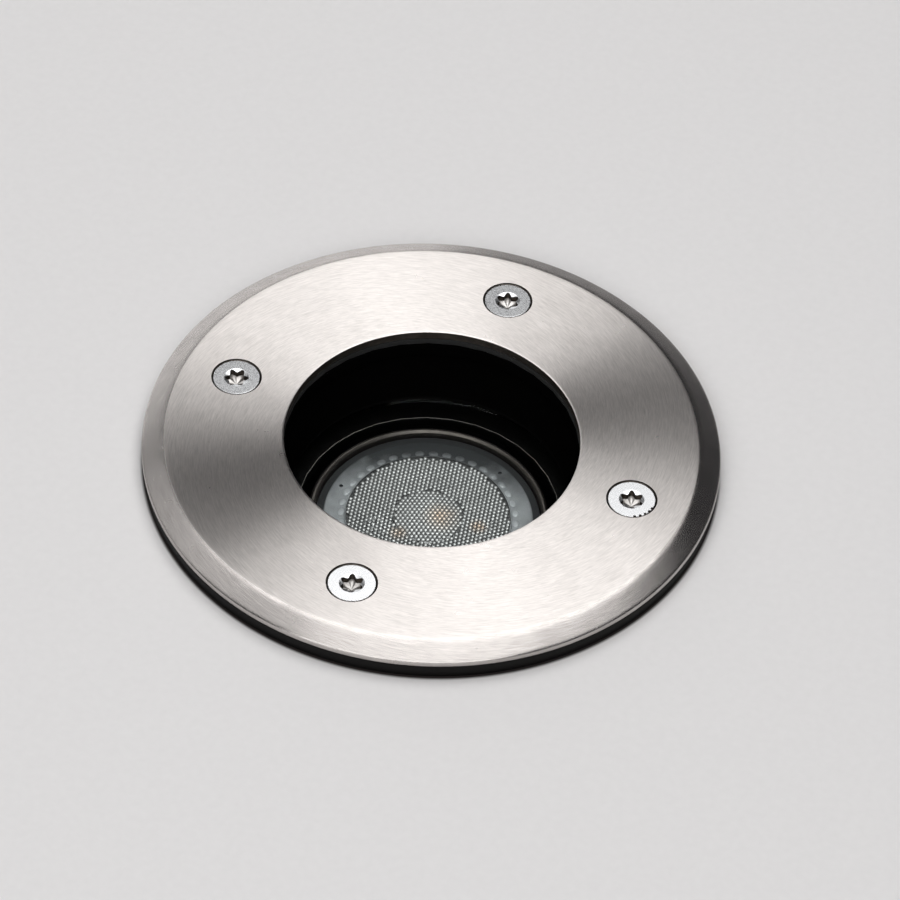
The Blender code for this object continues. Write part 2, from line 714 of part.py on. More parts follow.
def make_lamp_base():
    """Plastic base plugged into the neck of the shell, with the two knobbed pins."""
    spigot = LAMP_NECK_RADIUS - LAMP_WALL - FIT_GAP
    profile = [
        (0, base_top + BASE_SPIGOT_HEIGHT),
        (spigot, base_top + BASE_SPIGOT_HEIGHT),
        (spigot, base_top),
        (LAMP_NECK_RADIUS, base_top),
        (LAMP_NECK_RADIUS, lamp_face + BASE_TAPER_HEIGHT),
        (BASE_FACE_RADIUS, lamp_face),
        (0, lamp_face),
    ]
    base = turned("lamp_base", profile, ROUND_STEPS)
    root_top = lamp_face + PIN_ROOT_LENGTH
    hole = rod_mesh("pin_hole", PIN_RADIUS + PIN_CLEARANCE, lamp_face - CUT_OVERRUN,
                    root_top + PIN_CLEARANCE)
    places = around(PIN_COUNT, PIN_CIRCLE_RADIUS)
    cut(base, gathered("pin_holes", [(hole, spot) for spot in places]))
    finish(base, "lamp_base", (0.75, 0.75, 0.73), 0.45)
    knob_top = pin_foot + PIN_KNOB_HEIGHT
    pin = turned_mesh("lamp_pin", [
        (0, root_top),
        (PIN_RADIUS, root_top),
        (PIN_RADIUS, knob_top),
        (PIN_KNOB_RADIUS, knob_top),
        (PIN_KNOB_RADIUS, pin_foot),
        (0, pin_foot),
    ], TINY_STEPS)
    for number, spot in enumerate(places, 1):
        item = place(f"lamp_pin_{number}", pin)
        item.matrix_basis = spot
    finish(item, "lamp_pin", (0.7, 0.66, 0.55), 0.3, 1.0)


def make_lampholder():
    """Ceramic holder: keyhole tracks in its top plate, wider tracks below for the knobs."""
    profile = [
        (0, holder_top),
        (HOLDER_RADIUS - HOLDER_CHAMFER, holder_top),
        (HOLDER_RADIUS, holder_top - HOLDER_CHAMFER),
        (HOLDER_RADIUS, holder_foot),
        (0, holder_foot),
    ]
    holder = turned("lampholder", profile, ROUND_STEPS)
    above = holder_top + CUT_OVERRUN
    slot = prism_mesh("neck_track", [track(PIN_CIRCLE_RADIUS, PIN_RADIUS + TRACK_CLEARANCE, LAMP_TWIST)],
                      track_roof - CUT_OVERRUN / 2, above)
    knob_way = PIN_KNOB_RADIUS + KNOB_CLEARANCE
    entry = rod_mesh("knob_entry", knob_way, track_roof - CUT_OVERRUN / 2, above)
    trough = prism_mesh("knob_track", [track(PIN_CIRCLE_RADIUS, knob_way, LAMP_TWIST)],
                        track_floor, track_roof)
    lead_way = rod_mesh("lead_way", LEAD_RADIUS + LEAD_HOLE_CLEARANCE, holder_foot - CUT_OVERRUN,
                        track_floor + CUT_OVERRUN / 2)
    half_turns = around(PIN_COUNT)
    entry_spot = Matrix.Rotation(LAMP_TWIST, 4, 'Z') @ at(PIN_CIRCLE_RADIUS, 0)
    pin_spot = at(PIN_CIRCLE_RADIUS, 0)
    cut(
        holder,
        gathered("knob_tracks", [(trough, turn) for turn in half_turns]),
        gathered("neck_tracks", [(slot, turn) for turn in half_turns]),
        gathered("knob_entries", [(entry, turn @ entry_spot) for turn in half_turns]),
        gathered("lead_ways", [(lead_way, turn @ pin_spot) for turn in half_turns]),
    )
    head_way = HOLDER_SCREW_HEAD_RADIUS + SCREW_CLEARANCE
    screw_hole = turned_mesh("holder_screw_hole", [
        (0, above),
        (head_way, above),
        (head_way, track_roof),
        (tie_hole_radius, track_roof),
        (tie_hole_radius, holder_foot - CUT_OVERRUN),
        (0, holder_foot - CUT_OVERRUN),
    ], TINY_STEPS)
    sides = around(2, HOLDER_SCREW_OFFSET, pi / 2)
    cut(holder, gathered("holder_screw_holes", [(screw_hole, side) for side in sides]))
    finish(holder, "lampholder", (0.78, 0.76, 0.72), 0.3)
    contact = prism_mesh("contact", [track(PIN_CIRCLE_RADIUS, PIN_KNOB_RADIUS, LAMP_TWIST)],
                         contact_foot, contact_foot + CONTACT_THICKNESS)
    for number, turn in enumerate(half_turns, 1):
        item = place(f"holder_contact_{number}", contact)
        item.matrix_basis = turn
    finish(item, "holder_contact", (0.75, 0.55, 0.25), 0.3, 1.0)


def make_holder_plate():
    """Steel plate on two posts: carries the lampholder, its cut sides let the wires past."""
    radius = chamber_bore - HOLDER_PLATE_CLEARANCE
    half_length = sqrt(radius ** 2 - HOLDER_PLATE_HALF_WIDTH ** 2)
    spread = 2 * HOLDER_PLATE_HALF_WIDTH / HOLDER_PLATE_EDGE_STEPS
    outline = []
    for side in (1, -1):
        for step in range(HOLDER_PLATE_EDGE_STEPS + 1):
            y = side * (spread * step - HOLDER_PLATE_HALF_WIDTH)
            x = half_length if abs(y) >= HOLDER_PLATE_HALF_WIDTH else sqrt(radius ** 2 - y ** 2)
            outline.append((side * x, y))
    holes = [circle(HOLDER_PLATE_WINDOW, SMALL_STEPS)]
    for side in (1, -1):
        holes.append(circle(post_hole_radius, TINY_STEPS, side * post_circle, 0))
        holes.append(circle(tie_hole_radius, TINY_STEPS, 0, side * HOLDER_SCREW_OFFSET))
    plate = prism("holder_plate", [outline, *holes], plate_foot, plate_top)
    finish(plate, "holder_plate", (0.6, 0.6, 0.6), 0.35, 1.0)


def headed_screw(name, radius, head_radius, head_height, seat, foot):
    """A pan-head screw whose head rests on seat."""
    low = seat + FIT_GAP
    return turned_mesh(name, [
        (0, low + head_height),
        (head_radius - SCREW_CLEARANCE, low + head_height),
        (head_radius, low + head_height - SCREW_CLEARANCE),
        (head_radius, low),
        (radius, low),
        (radius, foot),
        (0, foot),
    ], TINY_STEPS)


def make_holder_fasteners():
    """Screws and nuts of the lampholder, and the screws of its plate."""
    nut_top = plate_foot - FIT_GAP
    nut_foot = nut_top - HOLDER_NUT_HEIGHT
    tie = headed_screw("holder_screw", HOLDER_SCREW_RADIUS, HOLDER_SCREW_HEAD_RADIUS,
                       HOLDER_SCREW_HEAD_HEIGHT, track_roof, nut_foot - SCREW_TAIL)
    nut = prism_mesh("holder_nut", [circle(holder_nut_radius, HEXAGON),
                                    circle(tie_hole_radius, TINY_STEPS)],
                     nut_foot, nut_top)
    for number, side in enumerate(around(2, HOLDER_SCREW_OFFSET, pi / 2), 1):
        screw = place(f"holder_screw_{number}", tie)
        screw.matrix_basis = side
        ring = place(f"holder_nut_{number}", nut)
        ring.matrix_basis = side
    finish(screw, "holder_screw", (0.6, 0.6, 0.58), 0.3, 1.0)
    finish(ring, "holder_nut", (0.6, 0.6, 0.58), 0.3, 1.0)
    fixing = headed_screw("plate_screw", PLATE_SCREW_RADIUS, PLATE_SCREW_HEAD_RADIUS,
                          PLATE_SCREW_HEAD_HEIGHT, plate_top, plate_top - PLATE_SCREW_LENGTH)
    for number, side in enumerate(around(2, post_circle), 1):
        screw = place(f"plate_screw_{number}", fixing)
        screw.matrix_basis = side
    finish(screw, "plate_screw", (0.6, 0.6, 0.58), 0.3, 1.0)


def make_housing():
    """Moulded cup: flange with four bosses, counterbore, barrel, chamber, posts in the floor."""
    neck_radius = counterbore_radius + NECK_WALL
    barrel_radius = barrel_bore + HOUSING_WALL
    neck_foot_level = counterbore_floor - NECK_DEPTH
    profile = [
        (0, floor_top),
        (chamber_bore, floor_top),
        (chamber_bore, step_level - BARREL_STEP),
        (barrel_bore, step_level),
        (barrel_bore, counterbore_floor),
        (counterbore_radius, counterbore_floor),
        (counterbore_radius, housing_top),
        (housing_flange_radius, housing_top),
        (housing_flange_radius, housing_flange_foot),
        (neck_radius, housing_flange_foot),
        (neck_radius, neck_foot_level),
        (barrel_radius, neck_foot_level - NECK_TAPER),
        (barrel_radius, step_level),
        (chamber_radius, step_level - BARREL_STEP),
        (chamber_radius, floor_foot + HOUSING_FOOT_CHAMFER),
        (chamber_radius - HOUSING_FOOT_CHAMFER, floor_foot),
        (0, floor_foot),
    ]
    housing = turned("housing", profile, WIDE_STEPS)
    inside_flange = housing_top - HOUSING_FLANGE_THICKNESS / 2
    boss = rod_mesh("boss", boss_radius, boss_foot, inside_flange, SMALL_STEPS)
    corners = around(SCREW_COUNT, screw_circle)
    root = neck_radius - NECK_WALL / 2
    tip = housing_flange_radius - HOUSING_FLANGE_THICKNESS
    gusset = prism_mesh("gusset", [[(root, inside_flange), (tip, inside_flange),
                                    (tip, housing_flange_foot - GUSSET_THICKNESS),
                                    (root, neck_foot_level)]],
                        -GUSSET_THICKNESS / 2, GUSSET_THICKNESS / 2)
    upright = Matrix.Rotation(pi / 2, 4, 'X')
    between = around(SCREW_COUNT, 0, pi / SCREW_COUNT)
    post = rod_mesh("post", post_radius, floor_top - HOUSING_FLOOR / 2, post_top, SMALL_STEPS)
    join(
        housing,
        gathered("bosses", [(boss, corner) for corner in corners]),
        gathered("gussets", [(gusset, turn @ upright) for turn in between]),
        gathered("posts", [(post, side) for side in around(2, post_circle)]),
    )
    screw_end = -TRIM_SCREW_SINK - TRIM_SCREW_LENGTH
    insert_end = housing_top - FIT_GAP - INSERT_LENGTH
    boss_hole = rod_mesh("boss_hole", boss_hole_radius, min(screw_end, insert_end) - BOSS_HOLE_TAIL,
                         housing_top + CUT_OVERRUN, SMALL_STEPS)
    post_hole_foot = plate_top - PLATE_SCREW_LENGTH - BOSS_HOLE_TAIL
    post_hole = rod_mesh("post_hole", post_hole_radius, post_hole_foot, post_top + CUT_OVERRUN)
    gland_hole = rod_mesh("gland_hole", GLAND_THREAD_RADIUS + SEAT_CLEARANCE, floor_foot - CUT_OVERRUN,
                          floor_top + CUT_OVERRUN, SMALL_STEPS)
    block_hole = rod_mesh("block_hole", BLOCK_SCREW_RADIUS + SCREW_CLEARANCE,
                          floor_top - BLOCK_SCREW_BITE - SCREW_CLEARANCE, floor_top + CUT_OVERRUN)
    cut(
        housing,
        gathered("boss_holes", [(boss_hole, corner) for corner in corners]),
        gathered("post_holes", [(post_hole, side) for side in around(2, post_circle)]),
        gathered("floor_holes", [(gland_hole, at(0, -GLAND_OFFSET)),
                                 (block_hole, at(0, BLOCK_OFFSET))]),
    )
    finish(housing, "housing", (0.03, 0.03, 0.032), 0.55)
    seal = turned("flange_seal", [
        (baffle_flange_radius, flange_seal_top),
        (baffle_flange_radius, flange_seal_foot),
        (barrel_bore, flange_seal_foot),
        (barrel_bore, flange_seal_top),
    ])
    finish(seal, "flange_seal", (0.03, 0.03, 0.03), 0.7)
    top = housing_top - FIT_GAP
    insert = turned_mesh("threaded_insert", [
        (insert_radius, top),
        (insert_radius, top - INSERT_LENGTH),
        (insert_radius - INSERT_WALL, top - INSERT_LENGTH),
        (insert_radius - INSERT_WALL, top),
    ], TINY_STEPS)
    for number, corner in enumerate(corners, 1):
        item = place(f"threaded_insert_{number}", insert)
        item.matrix_basis = corner
    finish(item, "threaded_insert", (0.72, 0.55, 0.25), 0.35, 1.0)


def make_terminal_block():
    """Two-pole terminal block screwed to the housing floor."""
    half = (BLOCK_LENGTH / 2, BLOCK_WIDTH / 2)
    block_top = block_foot + BLOCK_HEIGHT
    outline = [(-half[0] + BLOCK_EDGE, -half[1]), (half[0] - BLOCK_EDGE, -half[1]),
               (half[0], -half[1] + BLOCK_EDGE), (half[0], half[1] - BLOCK_EDGE),
               (half[0] - BLOCK_EDGE, half[1]), (-half[0] + BLOCK_EDGE, half[1]),
               (-half[0], half[1] - BLOCK_EDGE), (-half[0], -half[1] + BLOCK_EDGE)]
    block = prism("terminal_block", [outline], block_foot, block_top)
    block.matrix_basis = at(0, BLOCK_OFFSET)
    wire_hole = rod_mesh("wire_hole", BLOCK_WIRE_HOLE, -BLOCK_WIDTH / 2 - CUT_OVERRUN,
                         BLOCK_WIDTH / 2 + CUT_OVERRUN, TINY_STEPS)
    across = Matrix.Rotation(pi / 2, 4, 'X')
    poles = [at(side * BLOCK_POLE_OFFSET, BLOCK_OFFSET) for side in (1, -1)]
    wire_level = at(0, 0, block_foot + BLOCK_WIRE_HEIGHT)
    chimney_foot = block_foot + BLOCK_WIRE_HEIGHT
    chimney = rod_mesh("chimney", TERMINAL_SCREW_RADIUS + SCREW_CLEARANCE, chimney_foot,
                       block_top + CUT_OVERRUN)
    head_seat = block_top - BLOCK_SCREW_HEAD_HEIGHT - 2 * FIT_GAP
    fixing_hole = turned_mesh("block_fixing_hole", [
        (0, block_top + CUT_OVERRUN),
        (BLOCK_SCREW_HEAD_RADIUS + SCREW_CLEARANCE, block_top + CUT_OVERRUN),
        (BLOCK_SCREW_HEAD_RADIUS + SCREW_CLEARANCE, head_seat),
        (BLOCK_SCREW_RADIUS + SCREW_CLEARANCE, head_seat),
        (BLOCK_SCREW_RADIUS + SCREW_CLEARANCE, block_foot - CUT_OVERRUN),
        (0, block_foot - CUT_OVERRUN),
    ], TINY_STEPS)
    cut(
        block,
        gathered("wire_holes", [(wire_hole, pole @ wire_level @ across) for pole in poles]),
        gathered("chimneys", [(chimney, pole) for pole in poles]),
        gathered("fixing_hole", [(fixing_hole, at(0, BLOCK_OFFSET))]),
    )
    finish(block, "terminal_block", (0.75, 0.74, 0.7), 0.5)
    screw_top = block_top - TERMINAL_SCREW_SINK
    screw_foot = screw_top - TERMINAL_SCREW_LENGTH
    grub = rod_mesh("terminal_screw", TERMINAL_SCREW_RADIUS, screw_foot, screw_top)
    for number, pole in enumerate(poles, 1):
        item = place(f"terminal_screw_{number}", grub)
        item.matrix_basis = pole
    finish(item, "terminal_screw", (0.65, 0.6, 0.5), 0.35, 1.0)
    fixing = headed_screw("block_screw", BLOCK_SCREW_RADIUS, BLOCK_SCREW_HEAD_RADIUS,
                          BLOCK_SCREW_HEAD_HEIGHT, head_seat, floor_top - BLOCK_SCREW_BITE)
    screw = place("block_screw", fixing)
    screw.matrix_basis = at(0, BLOCK_OFFSET)
    finish(screw, "block_screw", (0.6, 0.6, 0.58), 0.3, 1.0)


def make_leads():
    """Two sleeved leads from the lampholder contacts down to the terminal block."""
    wire_level = block_foot + BLOCK_WIRE_HEIGHT
    end = BLOCK_OFFSET - BLOCK_WIDTH / 2 - FIT_GAP
    start = track_floor
    turn_level = plate_foot - LEAD_RADIUS
    drop = turn_level - wire_level
    for number, side in enumerate((1, -1), 1):
        begin_x = side * PIN_CIRCLE_RADIUS
        end_x = side * BLOCK_POLE_OFFSET
        points = [Vector((begin_x, 0, start)), Vector((begin_x, 0, turn_level))]
        bend_steps = 7
        for step in range(1, bend_steps + 1):
            angle = pi / 2 * step / bend_steps
            y = (end - 2 * LEAD_RADIUS) * (1 - cos(angle))
            x = begin_x + (end_x - begin_x) * step / bend_steps
            points.append(Vector((x, y, turn_level - drop * sin(angle))))
        points.append(Vector((end_x, end, wire_level)))
        wire = bpy.data.curves.new(f"lead_{number}", 'CURVE')
        wire.dimensions = '3D'
        wire.bevel_depth = LEAD_RADIUS
        wire.bevel_resolution = 2
        wire.use_fill_caps = True
        spline = wire.splines.new('POLY')
        spline.points.add(len(points) - 1)
        for spot, point in zip(spline.points, points):
            spot.co = (*point, 1)
        lead = place(f"lead_{number}", wire)
        finish(lead, f"lead_{number}", (0.35, 0.12, 0.08) if side > 0 else (0.08, 0.15, 0.4), 0.5)


def make_gland():
    """Cable gland: body and locknut clamp the floor and washer, the dome nut squeezes a seal."""
    spot = at(0, -GLAND_OFFSET)
    locknut_foot = floor_top + FIT_GAP
    neck_top = locknut_foot + LOCKNUT_HEIGHT + SCREW_TAIL
    seal_top = gland_tube_foot + GLAND_MOUTH_LENGTH - FIT_GAP
    body = turned("gland_body", [
        (GLAND_THREAD_RADIUS, neck_top),
        (GLAND_THREAD_RADIUS, gland_tube_foot),
        (gland_mouth_radius, gland_tube_foot),
        (gland_mouth_radius, seal_top + FIT_GAP),
        (gland_bore, seal_top + FIT_GAP),
        (gland_bore, neck_top),
    ], SMALL_STEPS)
    body.matrix_basis = spot
    bore = circle((gland_bore + GLAND_THREAD_RADIUS) / 2, SMALL_STEPS)
    collar = prism("gland_collar", [circle(gland_hex_radius, HEXAGON), bore],
                   gland_hex_foot, gland_hex_top, CUTTERS)
    collar.matrix_basis = spot
    join(body, collar)
    finish(body, "gland_body", (0.05, 0.05, 0.05), 0.5)
    washer = turned("gland_washer", [
        (GLAND_THREAD_RADIUS + GLAND_WASHER_WIDTH, washer_top),
        (GLAND_THREAD_RADIUS + GLAND_WASHER_WIDTH, washer_foot),
        (GLAND_THREAD_RADIUS + FIT_GAP, washer_foot),
        (GLAND_THREAD_RADIUS + FIT_GAP, washer_top),
    ], SMALL_STEPS)
    washer.matrix_basis = spot
    finish(washer, "gland_washer", (0.03, 0.03, 0.03), 0.7)
    thread_way = circle(GLAND_THREAD_RADIUS + FIT_GAP, SMALL_STEPS)
    locknut = prism("gland_locknut", [circle(gland_hex_radius, HEXAGON), thread_way],
                    locknut_foot, locknut_foot + LOCKNUT_HEIGHT)
    locknut.matrix_basis = spot
    finish(locknut, "gland_locknut", (0.05, 0.05, 0.05), 0.5)
    seal = turned("gland_seal", [
        (gland_seal_radius, seal_top),
        (gland_seal_radius, seal_top - GLAND_SEAL_LENGTH),
        (gland_seal_radius - GLAND_SEAL_WALL, seal_top - GLAND_SEAL_LENGTH),
        (gland_seal_radius - GLAND_SEAL_WALL, seal_top),
    ], SMALL_STEPS)
    seal.matrix_basis = spot
    finish(seal, "gland_seal", (0.12, 0.12, 0.12), 0.7)
    dome_height = gland_tube_foot - FIT_GAP - gland_nut_foot
    dome = turned("gland_nut", [
        (gland_hex_radius, gland_nut_top),
        *[(gland_hex_radius - dome_height * inward, gland_nut_foot + dome_height * height)
          for height, inward in GLAND_DOME_SHARES],
        (gland_nut_mouth, gland_nut_foot),
        (gland_nut_mouth, gland_tube_foot - FIT_GAP),
        (GLAND_THREAD_RADIUS + FIT_GAP, gland_tube_foot - FIT_GAP),
        (GLAND_THREAD_RADIUS + FIT_GAP, gland_nut_top),
    ], SMALL_STEPS)
    dome.matrix_basis = spot
    hexagon = prism("gland_nut_flats", [circle(gland_hex_radius, HEXAGON)], gland_nut_foot - CUT_OVERRUN,
                    gland_nut_top + CUT_OVERRUN, CUTTERS)
    hexagon.matrix_basis = spot
    step = dome.modifiers.new("hexagon", 'BOOLEAN')
    step.operation = 'INTERSECT'
    step.object = hexagon
    finish(dome, "gland_nut", (0.05, 0.05, 0.05), 0.5)


def make_sleeve():
    """Moulded sleeve: brim, rebate for the housing flange, ribs, hoops, cable windows, open foot."""
    wall_top = sleeve_bore + SLEEVE_WALL
    bore_foot = sleeve_bore - SLEEVE_DRAFT
    top = housing_top
    collar_foot = housing_flange_foot - FIT_GAP - SLEEVE_WALL
    taper_foot = collar_foot - SLEEVE_COLLAR_TAPER
    tube_length = taper_foot - sleeve_foot
    foot_ring = sleeve_foot + SLEEVE_WALL

    def wall(level):
        """Outside radius of the drafted tube at a level."""
        return wall_top - SLEEVE_DRAFT * (taper_foot - level) / tube_length

    profile = [
        (brim_radius, top),
        (brim_radius, top - SLEEVE_BRIM_THICKNESS),
        (sleeve_collar_radius, top - SLEEVE_BRIM_THICKNESS),
        (sleeve_collar_radius, collar_foot),
        (wall_top, taper_foot),
    ]
    for share in HOOP_DEPTH_SHARES:
        high = taper_foot - tube_length * share
        low = high - HOOP_HEIGHT
        swell = SLEEVE_RIB_HEIGHT / 2
        profile += [(wall(high), high), (wall(high) + swell, high),
                    (wall(low) + swell, low), (wall(low), low)]
    profile += [
        (wall(sleeve_foot), sleeve_foot),
        (bore_foot - SLEEVE_FOOT_WIDTH, sleeve_foot),
        (bore_foot - SLEEVE_FOOT_WIDTH, foot_ring),
        (bore_foot, foot_ring),
        (sleeve_bore, housing_flange_foot - FIT_GAP),
        (rebate_radius, housing_flange_foot - FIT_GAP),
        (rebate_radius, top),
    ]
    sleeve = turned("ground_sleeve", profile, WIDE_STEPS)
    rib_top = taper_foot - SLEEVE_RIB_SETBACK
    rib_foot = sleeve_foot + SLEEVE_RIB_SETBACK
    inset = SLEEVE_WALL / 2
    rib = prism_mesh("rib", [[(wall(rib_top) - inset, rib_top), (wall(rib_top), rib_top),
                              (wall(rib_top) + SLEEVE_RIB_HEIGHT, rib_top - SLEEVE_RIB_HEIGHT),
                              (wall(rib_foot) + SLEEVE_RIB_HEIGHT, rib_foot + SLEEVE_RIB_HEIGHT),
                              (wall(rib_foot), rib_foot), (wall(rib_foot) - inset, rib_foot)]],
                     -SLEEVE_RIB_THICKNESS / 2, SLEEVE_RIB_THICKNESS / 2)
    upright = Matrix.Rotation(pi / 2, 4, 'X')
    turns = around(SLEEVE_RIB_COUNT, 0, pi / SLEEVE_RIB_COUNT)
    join(sleeve, gathered("sleeve_ribs", [(rib, turn @ upright) for turn in turns]))
    sill = sleeve_foot + CABLE_WINDOW_SILL
    arch_level = sill + CABLE_WINDOW_HEIGHT - CABLE_WINDOW_HALF_WIDTH
    outline = [(CABLE_WINDOW_HALF_WIDTH, sill)]
    arch_steps = 8
    for step in range(arch_steps + 1):
        angle = pi * step / arch_steps
        outline.append((CABLE_WINDOW_HALF_WIDTH * cos(angle),
                        arch_level + CABLE_WINDOW_HALF_WIDTH * sin(angle)))
    outline.append((-CABLE_WINDOW_HALF_WIDTH, sill))
    reach = wall_top + CUT_OVERRUN
    window = prism_mesh("cable_window", [outline], -reach, reach)
    cut(sleeve, gathered("cable_windows", [(window, upright)]))
    finish(sleeve, "ground_sleeve", (0.035, 0.035, 0.037), 0.6)


make_sleeve()
make_housing()
make_gland()
make_terminal_block()
make_leads()
make_holder_plate()
make_lampholder()
make_holder_fasteners()
led_board_radius, led_board_foot = make_lamp_shell()
make_lamp_optics(led_board_radius, led_board_foot)
make_lamp_base()
make_baffle_tube()
make_glass()
make_trim_gasket()
make_trim_ring()
make_trim_screws()
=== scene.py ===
import json
from math import atan2, cos, hypot, pi, radians, sin, sqrt
from random import Random

import bmesh
import bpy
from mathutils import Matrix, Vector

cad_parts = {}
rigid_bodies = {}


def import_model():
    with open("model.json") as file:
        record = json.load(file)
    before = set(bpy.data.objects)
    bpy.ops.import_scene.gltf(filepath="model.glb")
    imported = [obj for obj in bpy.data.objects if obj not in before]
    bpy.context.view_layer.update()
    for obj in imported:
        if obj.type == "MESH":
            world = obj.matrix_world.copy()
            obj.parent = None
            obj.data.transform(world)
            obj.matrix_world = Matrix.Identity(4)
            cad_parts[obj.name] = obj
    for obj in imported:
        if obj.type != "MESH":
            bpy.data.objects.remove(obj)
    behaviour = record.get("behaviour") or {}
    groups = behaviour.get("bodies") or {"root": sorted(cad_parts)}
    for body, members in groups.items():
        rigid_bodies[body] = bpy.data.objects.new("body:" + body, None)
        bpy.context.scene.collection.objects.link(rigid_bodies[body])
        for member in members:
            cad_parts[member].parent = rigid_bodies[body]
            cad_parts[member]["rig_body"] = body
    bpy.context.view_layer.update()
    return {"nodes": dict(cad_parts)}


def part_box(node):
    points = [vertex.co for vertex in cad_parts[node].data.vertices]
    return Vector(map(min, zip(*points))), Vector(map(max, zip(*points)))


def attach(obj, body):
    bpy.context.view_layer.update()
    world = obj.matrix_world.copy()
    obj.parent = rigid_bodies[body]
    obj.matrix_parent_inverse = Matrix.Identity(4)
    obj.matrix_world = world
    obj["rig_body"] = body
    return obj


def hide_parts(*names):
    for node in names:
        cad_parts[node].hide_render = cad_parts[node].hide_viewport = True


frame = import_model()


# Ground sleeve: the ribbed tube that is set in the ground, with a brim that rests on the paving.
# Moulded in glass-filled nylon, so its skin is satin black with a fine sparkle and faint flow marks.
# The brim is turned and joined to the sleeve, and painted a far darker black than the sleeve: painted shade
# in the gap under the ring's edge. Its section, like the others below, is in millimetres, with levels from
# the ring's top.

RING_TOP = 0.1494
MERGE_DISTANCE = 0.000002
EDGE_ROUNDING = 0.00018
BRIM_SECTION = (
    (55.0, -3.49), (58.2, -3.49), (58.34, -3.55), (58.4, -3.69), (58.4, -6.26), (58.36, -6.36),
    (58.26, -6.40), (55.0, -5.6),
)
BRIM_STEPS = 192
BRIM_DEPTH = 0.0064
SLEEVE_BLACK = (0.012, 0.012, 0.012)
SLEEVE_GREY = (0.026, 0.026, 0.026)
BRIM_SHADE_BLACK = (0.0022, 0.0020, 0.0019)
BRIM_SHADE_GREY = (0.0062, 0.0056, 0.0053)


class Wire:
    """A socket of a material. Sums on it add Math nodes, and node() adds any other node."""

    def __init__(self, tree, socket=None):
        self.tree = tree
        self.socket = socket

    def node(self, kind, settings={}, sockets={}, output=0):
        node = self.tree.nodes.new("ShaderNode" + kind)
        for name, value in settings.items():
            if name == "stops":
                while len(node.color_ramp.elements) < len(value):
                    node.color_ramp.elements.new(1.0)
                for stop, (place, colour) in zip(node.color_ramp.elements, value):
                    stop.position = place
                    stop.color = (*colour, 1.0)
            else:
                setattr(node, name, value)
        for name, value in sockets.items():
            if isinstance(value, Wire):
                value.to(node.inputs[name])
            else:
                node.inputs[name].default_value = value
        return Wire(self.tree, node.outputs[output])

    def to(self, socket):
        self.tree.links.new(self.socket, socket)

    def math(self, operation, first, second=0.0):
        return self.node("Math", {"operation": operation}, {0: first, 1: second})

    def mix(self, share, first, second):
        """Mixes two colours, each written out or from a socket."""
        first, second = (colour if isinstance(colour, Wire) else (*colour, 1.0) for colour in (first, second))
        return self.node("Mix", {"data_type": "RGBA"}, {0: share, 6: first, 7: second}, 2)

    def __add__(self, other):
        return self.math("ADD", self, other)

    def __sub__(self, other):
        return self.math("SUBTRACT", self, other)

    def __rsub__(self, other):
        return self.math("SUBTRACT", other, self)

    def __mul__(self, other):
        return self.math("MULTIPLY", self, other)

    def __truediv__(self, other):
        return self.math("DIVIDE", self, other)

    __radd__ = __add__
    __rmul__ = __mul__


def finish(name, **sockets):
    """A new material with these values set, its surface's sockets, and a wire to draw its pattern with."""
    material = bpy.data.materials.new(name)
    material.use_nodes = True
    surface = material.node_tree.nodes["Principled BSDF"].inputs
    for socket, value in sockets.items():
        surface[socket.replace("_", " ")].default_value = value
    return material, surface, Wire(material.node_tree)


def moulded(name, dark, light, roughness, grain=0.0005, relief=0.00003, **sockets):
    """Moulded plastic or rubber: a skin of this grain and relief, faint flow marks and an uneven gloss."""
    material, surface, wire = finish(name, **sockets)
    place = wire.node("TexCoord", output="Object")
    skin = wire.node("TexNoise", {}, {"Vector": place, "Scale": 1 / grain, "Detail": 3.0, "Roughness": 0.6})
    flow = wire.node("TexNoise", {}, {"Vector": place, "Scale": 60.0, "Detail": 3.0, "Distortion": 0.8})
    wire.mix(skin * 0.5 + flow * 0.5, dark, light).to(surface["Base Color"])
    (flow * 0.24 + skin * 0.16 + (roughness - 0.2)).to(surface["Roughness"])
    wire.node("Bump", {}, {"Strength": 0.6, "Distance": relief, "Height": skin}).to(surface["Normal"])
    return material


def softened(node, material, slot, rounding=EDGE_ROUNDING):
    """Stands for a CAD node: its own form, with the facets shaded round and the sharp edges softened."""
    shape = bmesh.new()
    shape.from_mesh(frame["nodes"][node].data)
    bmesh.ops.remove_doubles(shape, verts=shape.verts, dist=MERGE_DISTANCE)
    bmesh.ops.dissolve_limit(shape, angle_limit=radians(1), verts=shape.verts, edges=shape.edges)
    corners = [edge for edge in shape.edges if edge.is_manifold and edge.calc_face_angle() > radians(32)]
    bmesh.ops.bevel(
        shape, geom=corners, offset=rounding, affect="EDGES", segments=2, profile=0.5, material=-1,
        clamp_overlap=True,
    )
    return piece(node + "_finished", shape, material, slot, node)


def piece(name, shape, material, slot, *nodes, smooth=40):
    """Puts a finished shape in the scene in place of its CAD nodes, riding with their body."""
    mesh = bpy.data.meshes.new(name)
    bmesh.ops.triangulate(shape, faces=[face for face in shape.faces if len(face.verts) > 4])
    shape.to_mesh(mesh)
    shape.free()
    mesh.shade_smooth()
    mesh.set_sharp_from_angle(angle=radians(smooth))
    made = bpy.data.objects.new(name, mesh)
    bpy.context.scene.collection.objects.link(made)
    mesh.materials.append(material)
    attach(made, frame["nodes"][nodes[0]]["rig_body"])
    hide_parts(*nodes)
    return made


def turned(section, steps):
    """A closed solid turned about the upright axis from its half section of radii and levels."""
    shape = bmesh.new()
    corners = [shape.verts.new((radius / 1000, 0, RING_TOP + level / 1000)) for radius, level in section]
    around = corners[1:] + corners[:1]
    outline = [shape.edges.new(pair) for pair in zip(corners, around) if pair[0].co.x or pair[1].co.x]
    bmesh.ops.spin(shape, geom=corners + outline, axis=(0, 0, 1), angle=2 * pi, steps=steps, use_merge=True)
    bmesh.ops.remove_doubles(shape, verts=shape.verts, dist=0.000001)
    bmesh.ops.recalc_face_normals(shape, faces=shape.faces)
    return shape


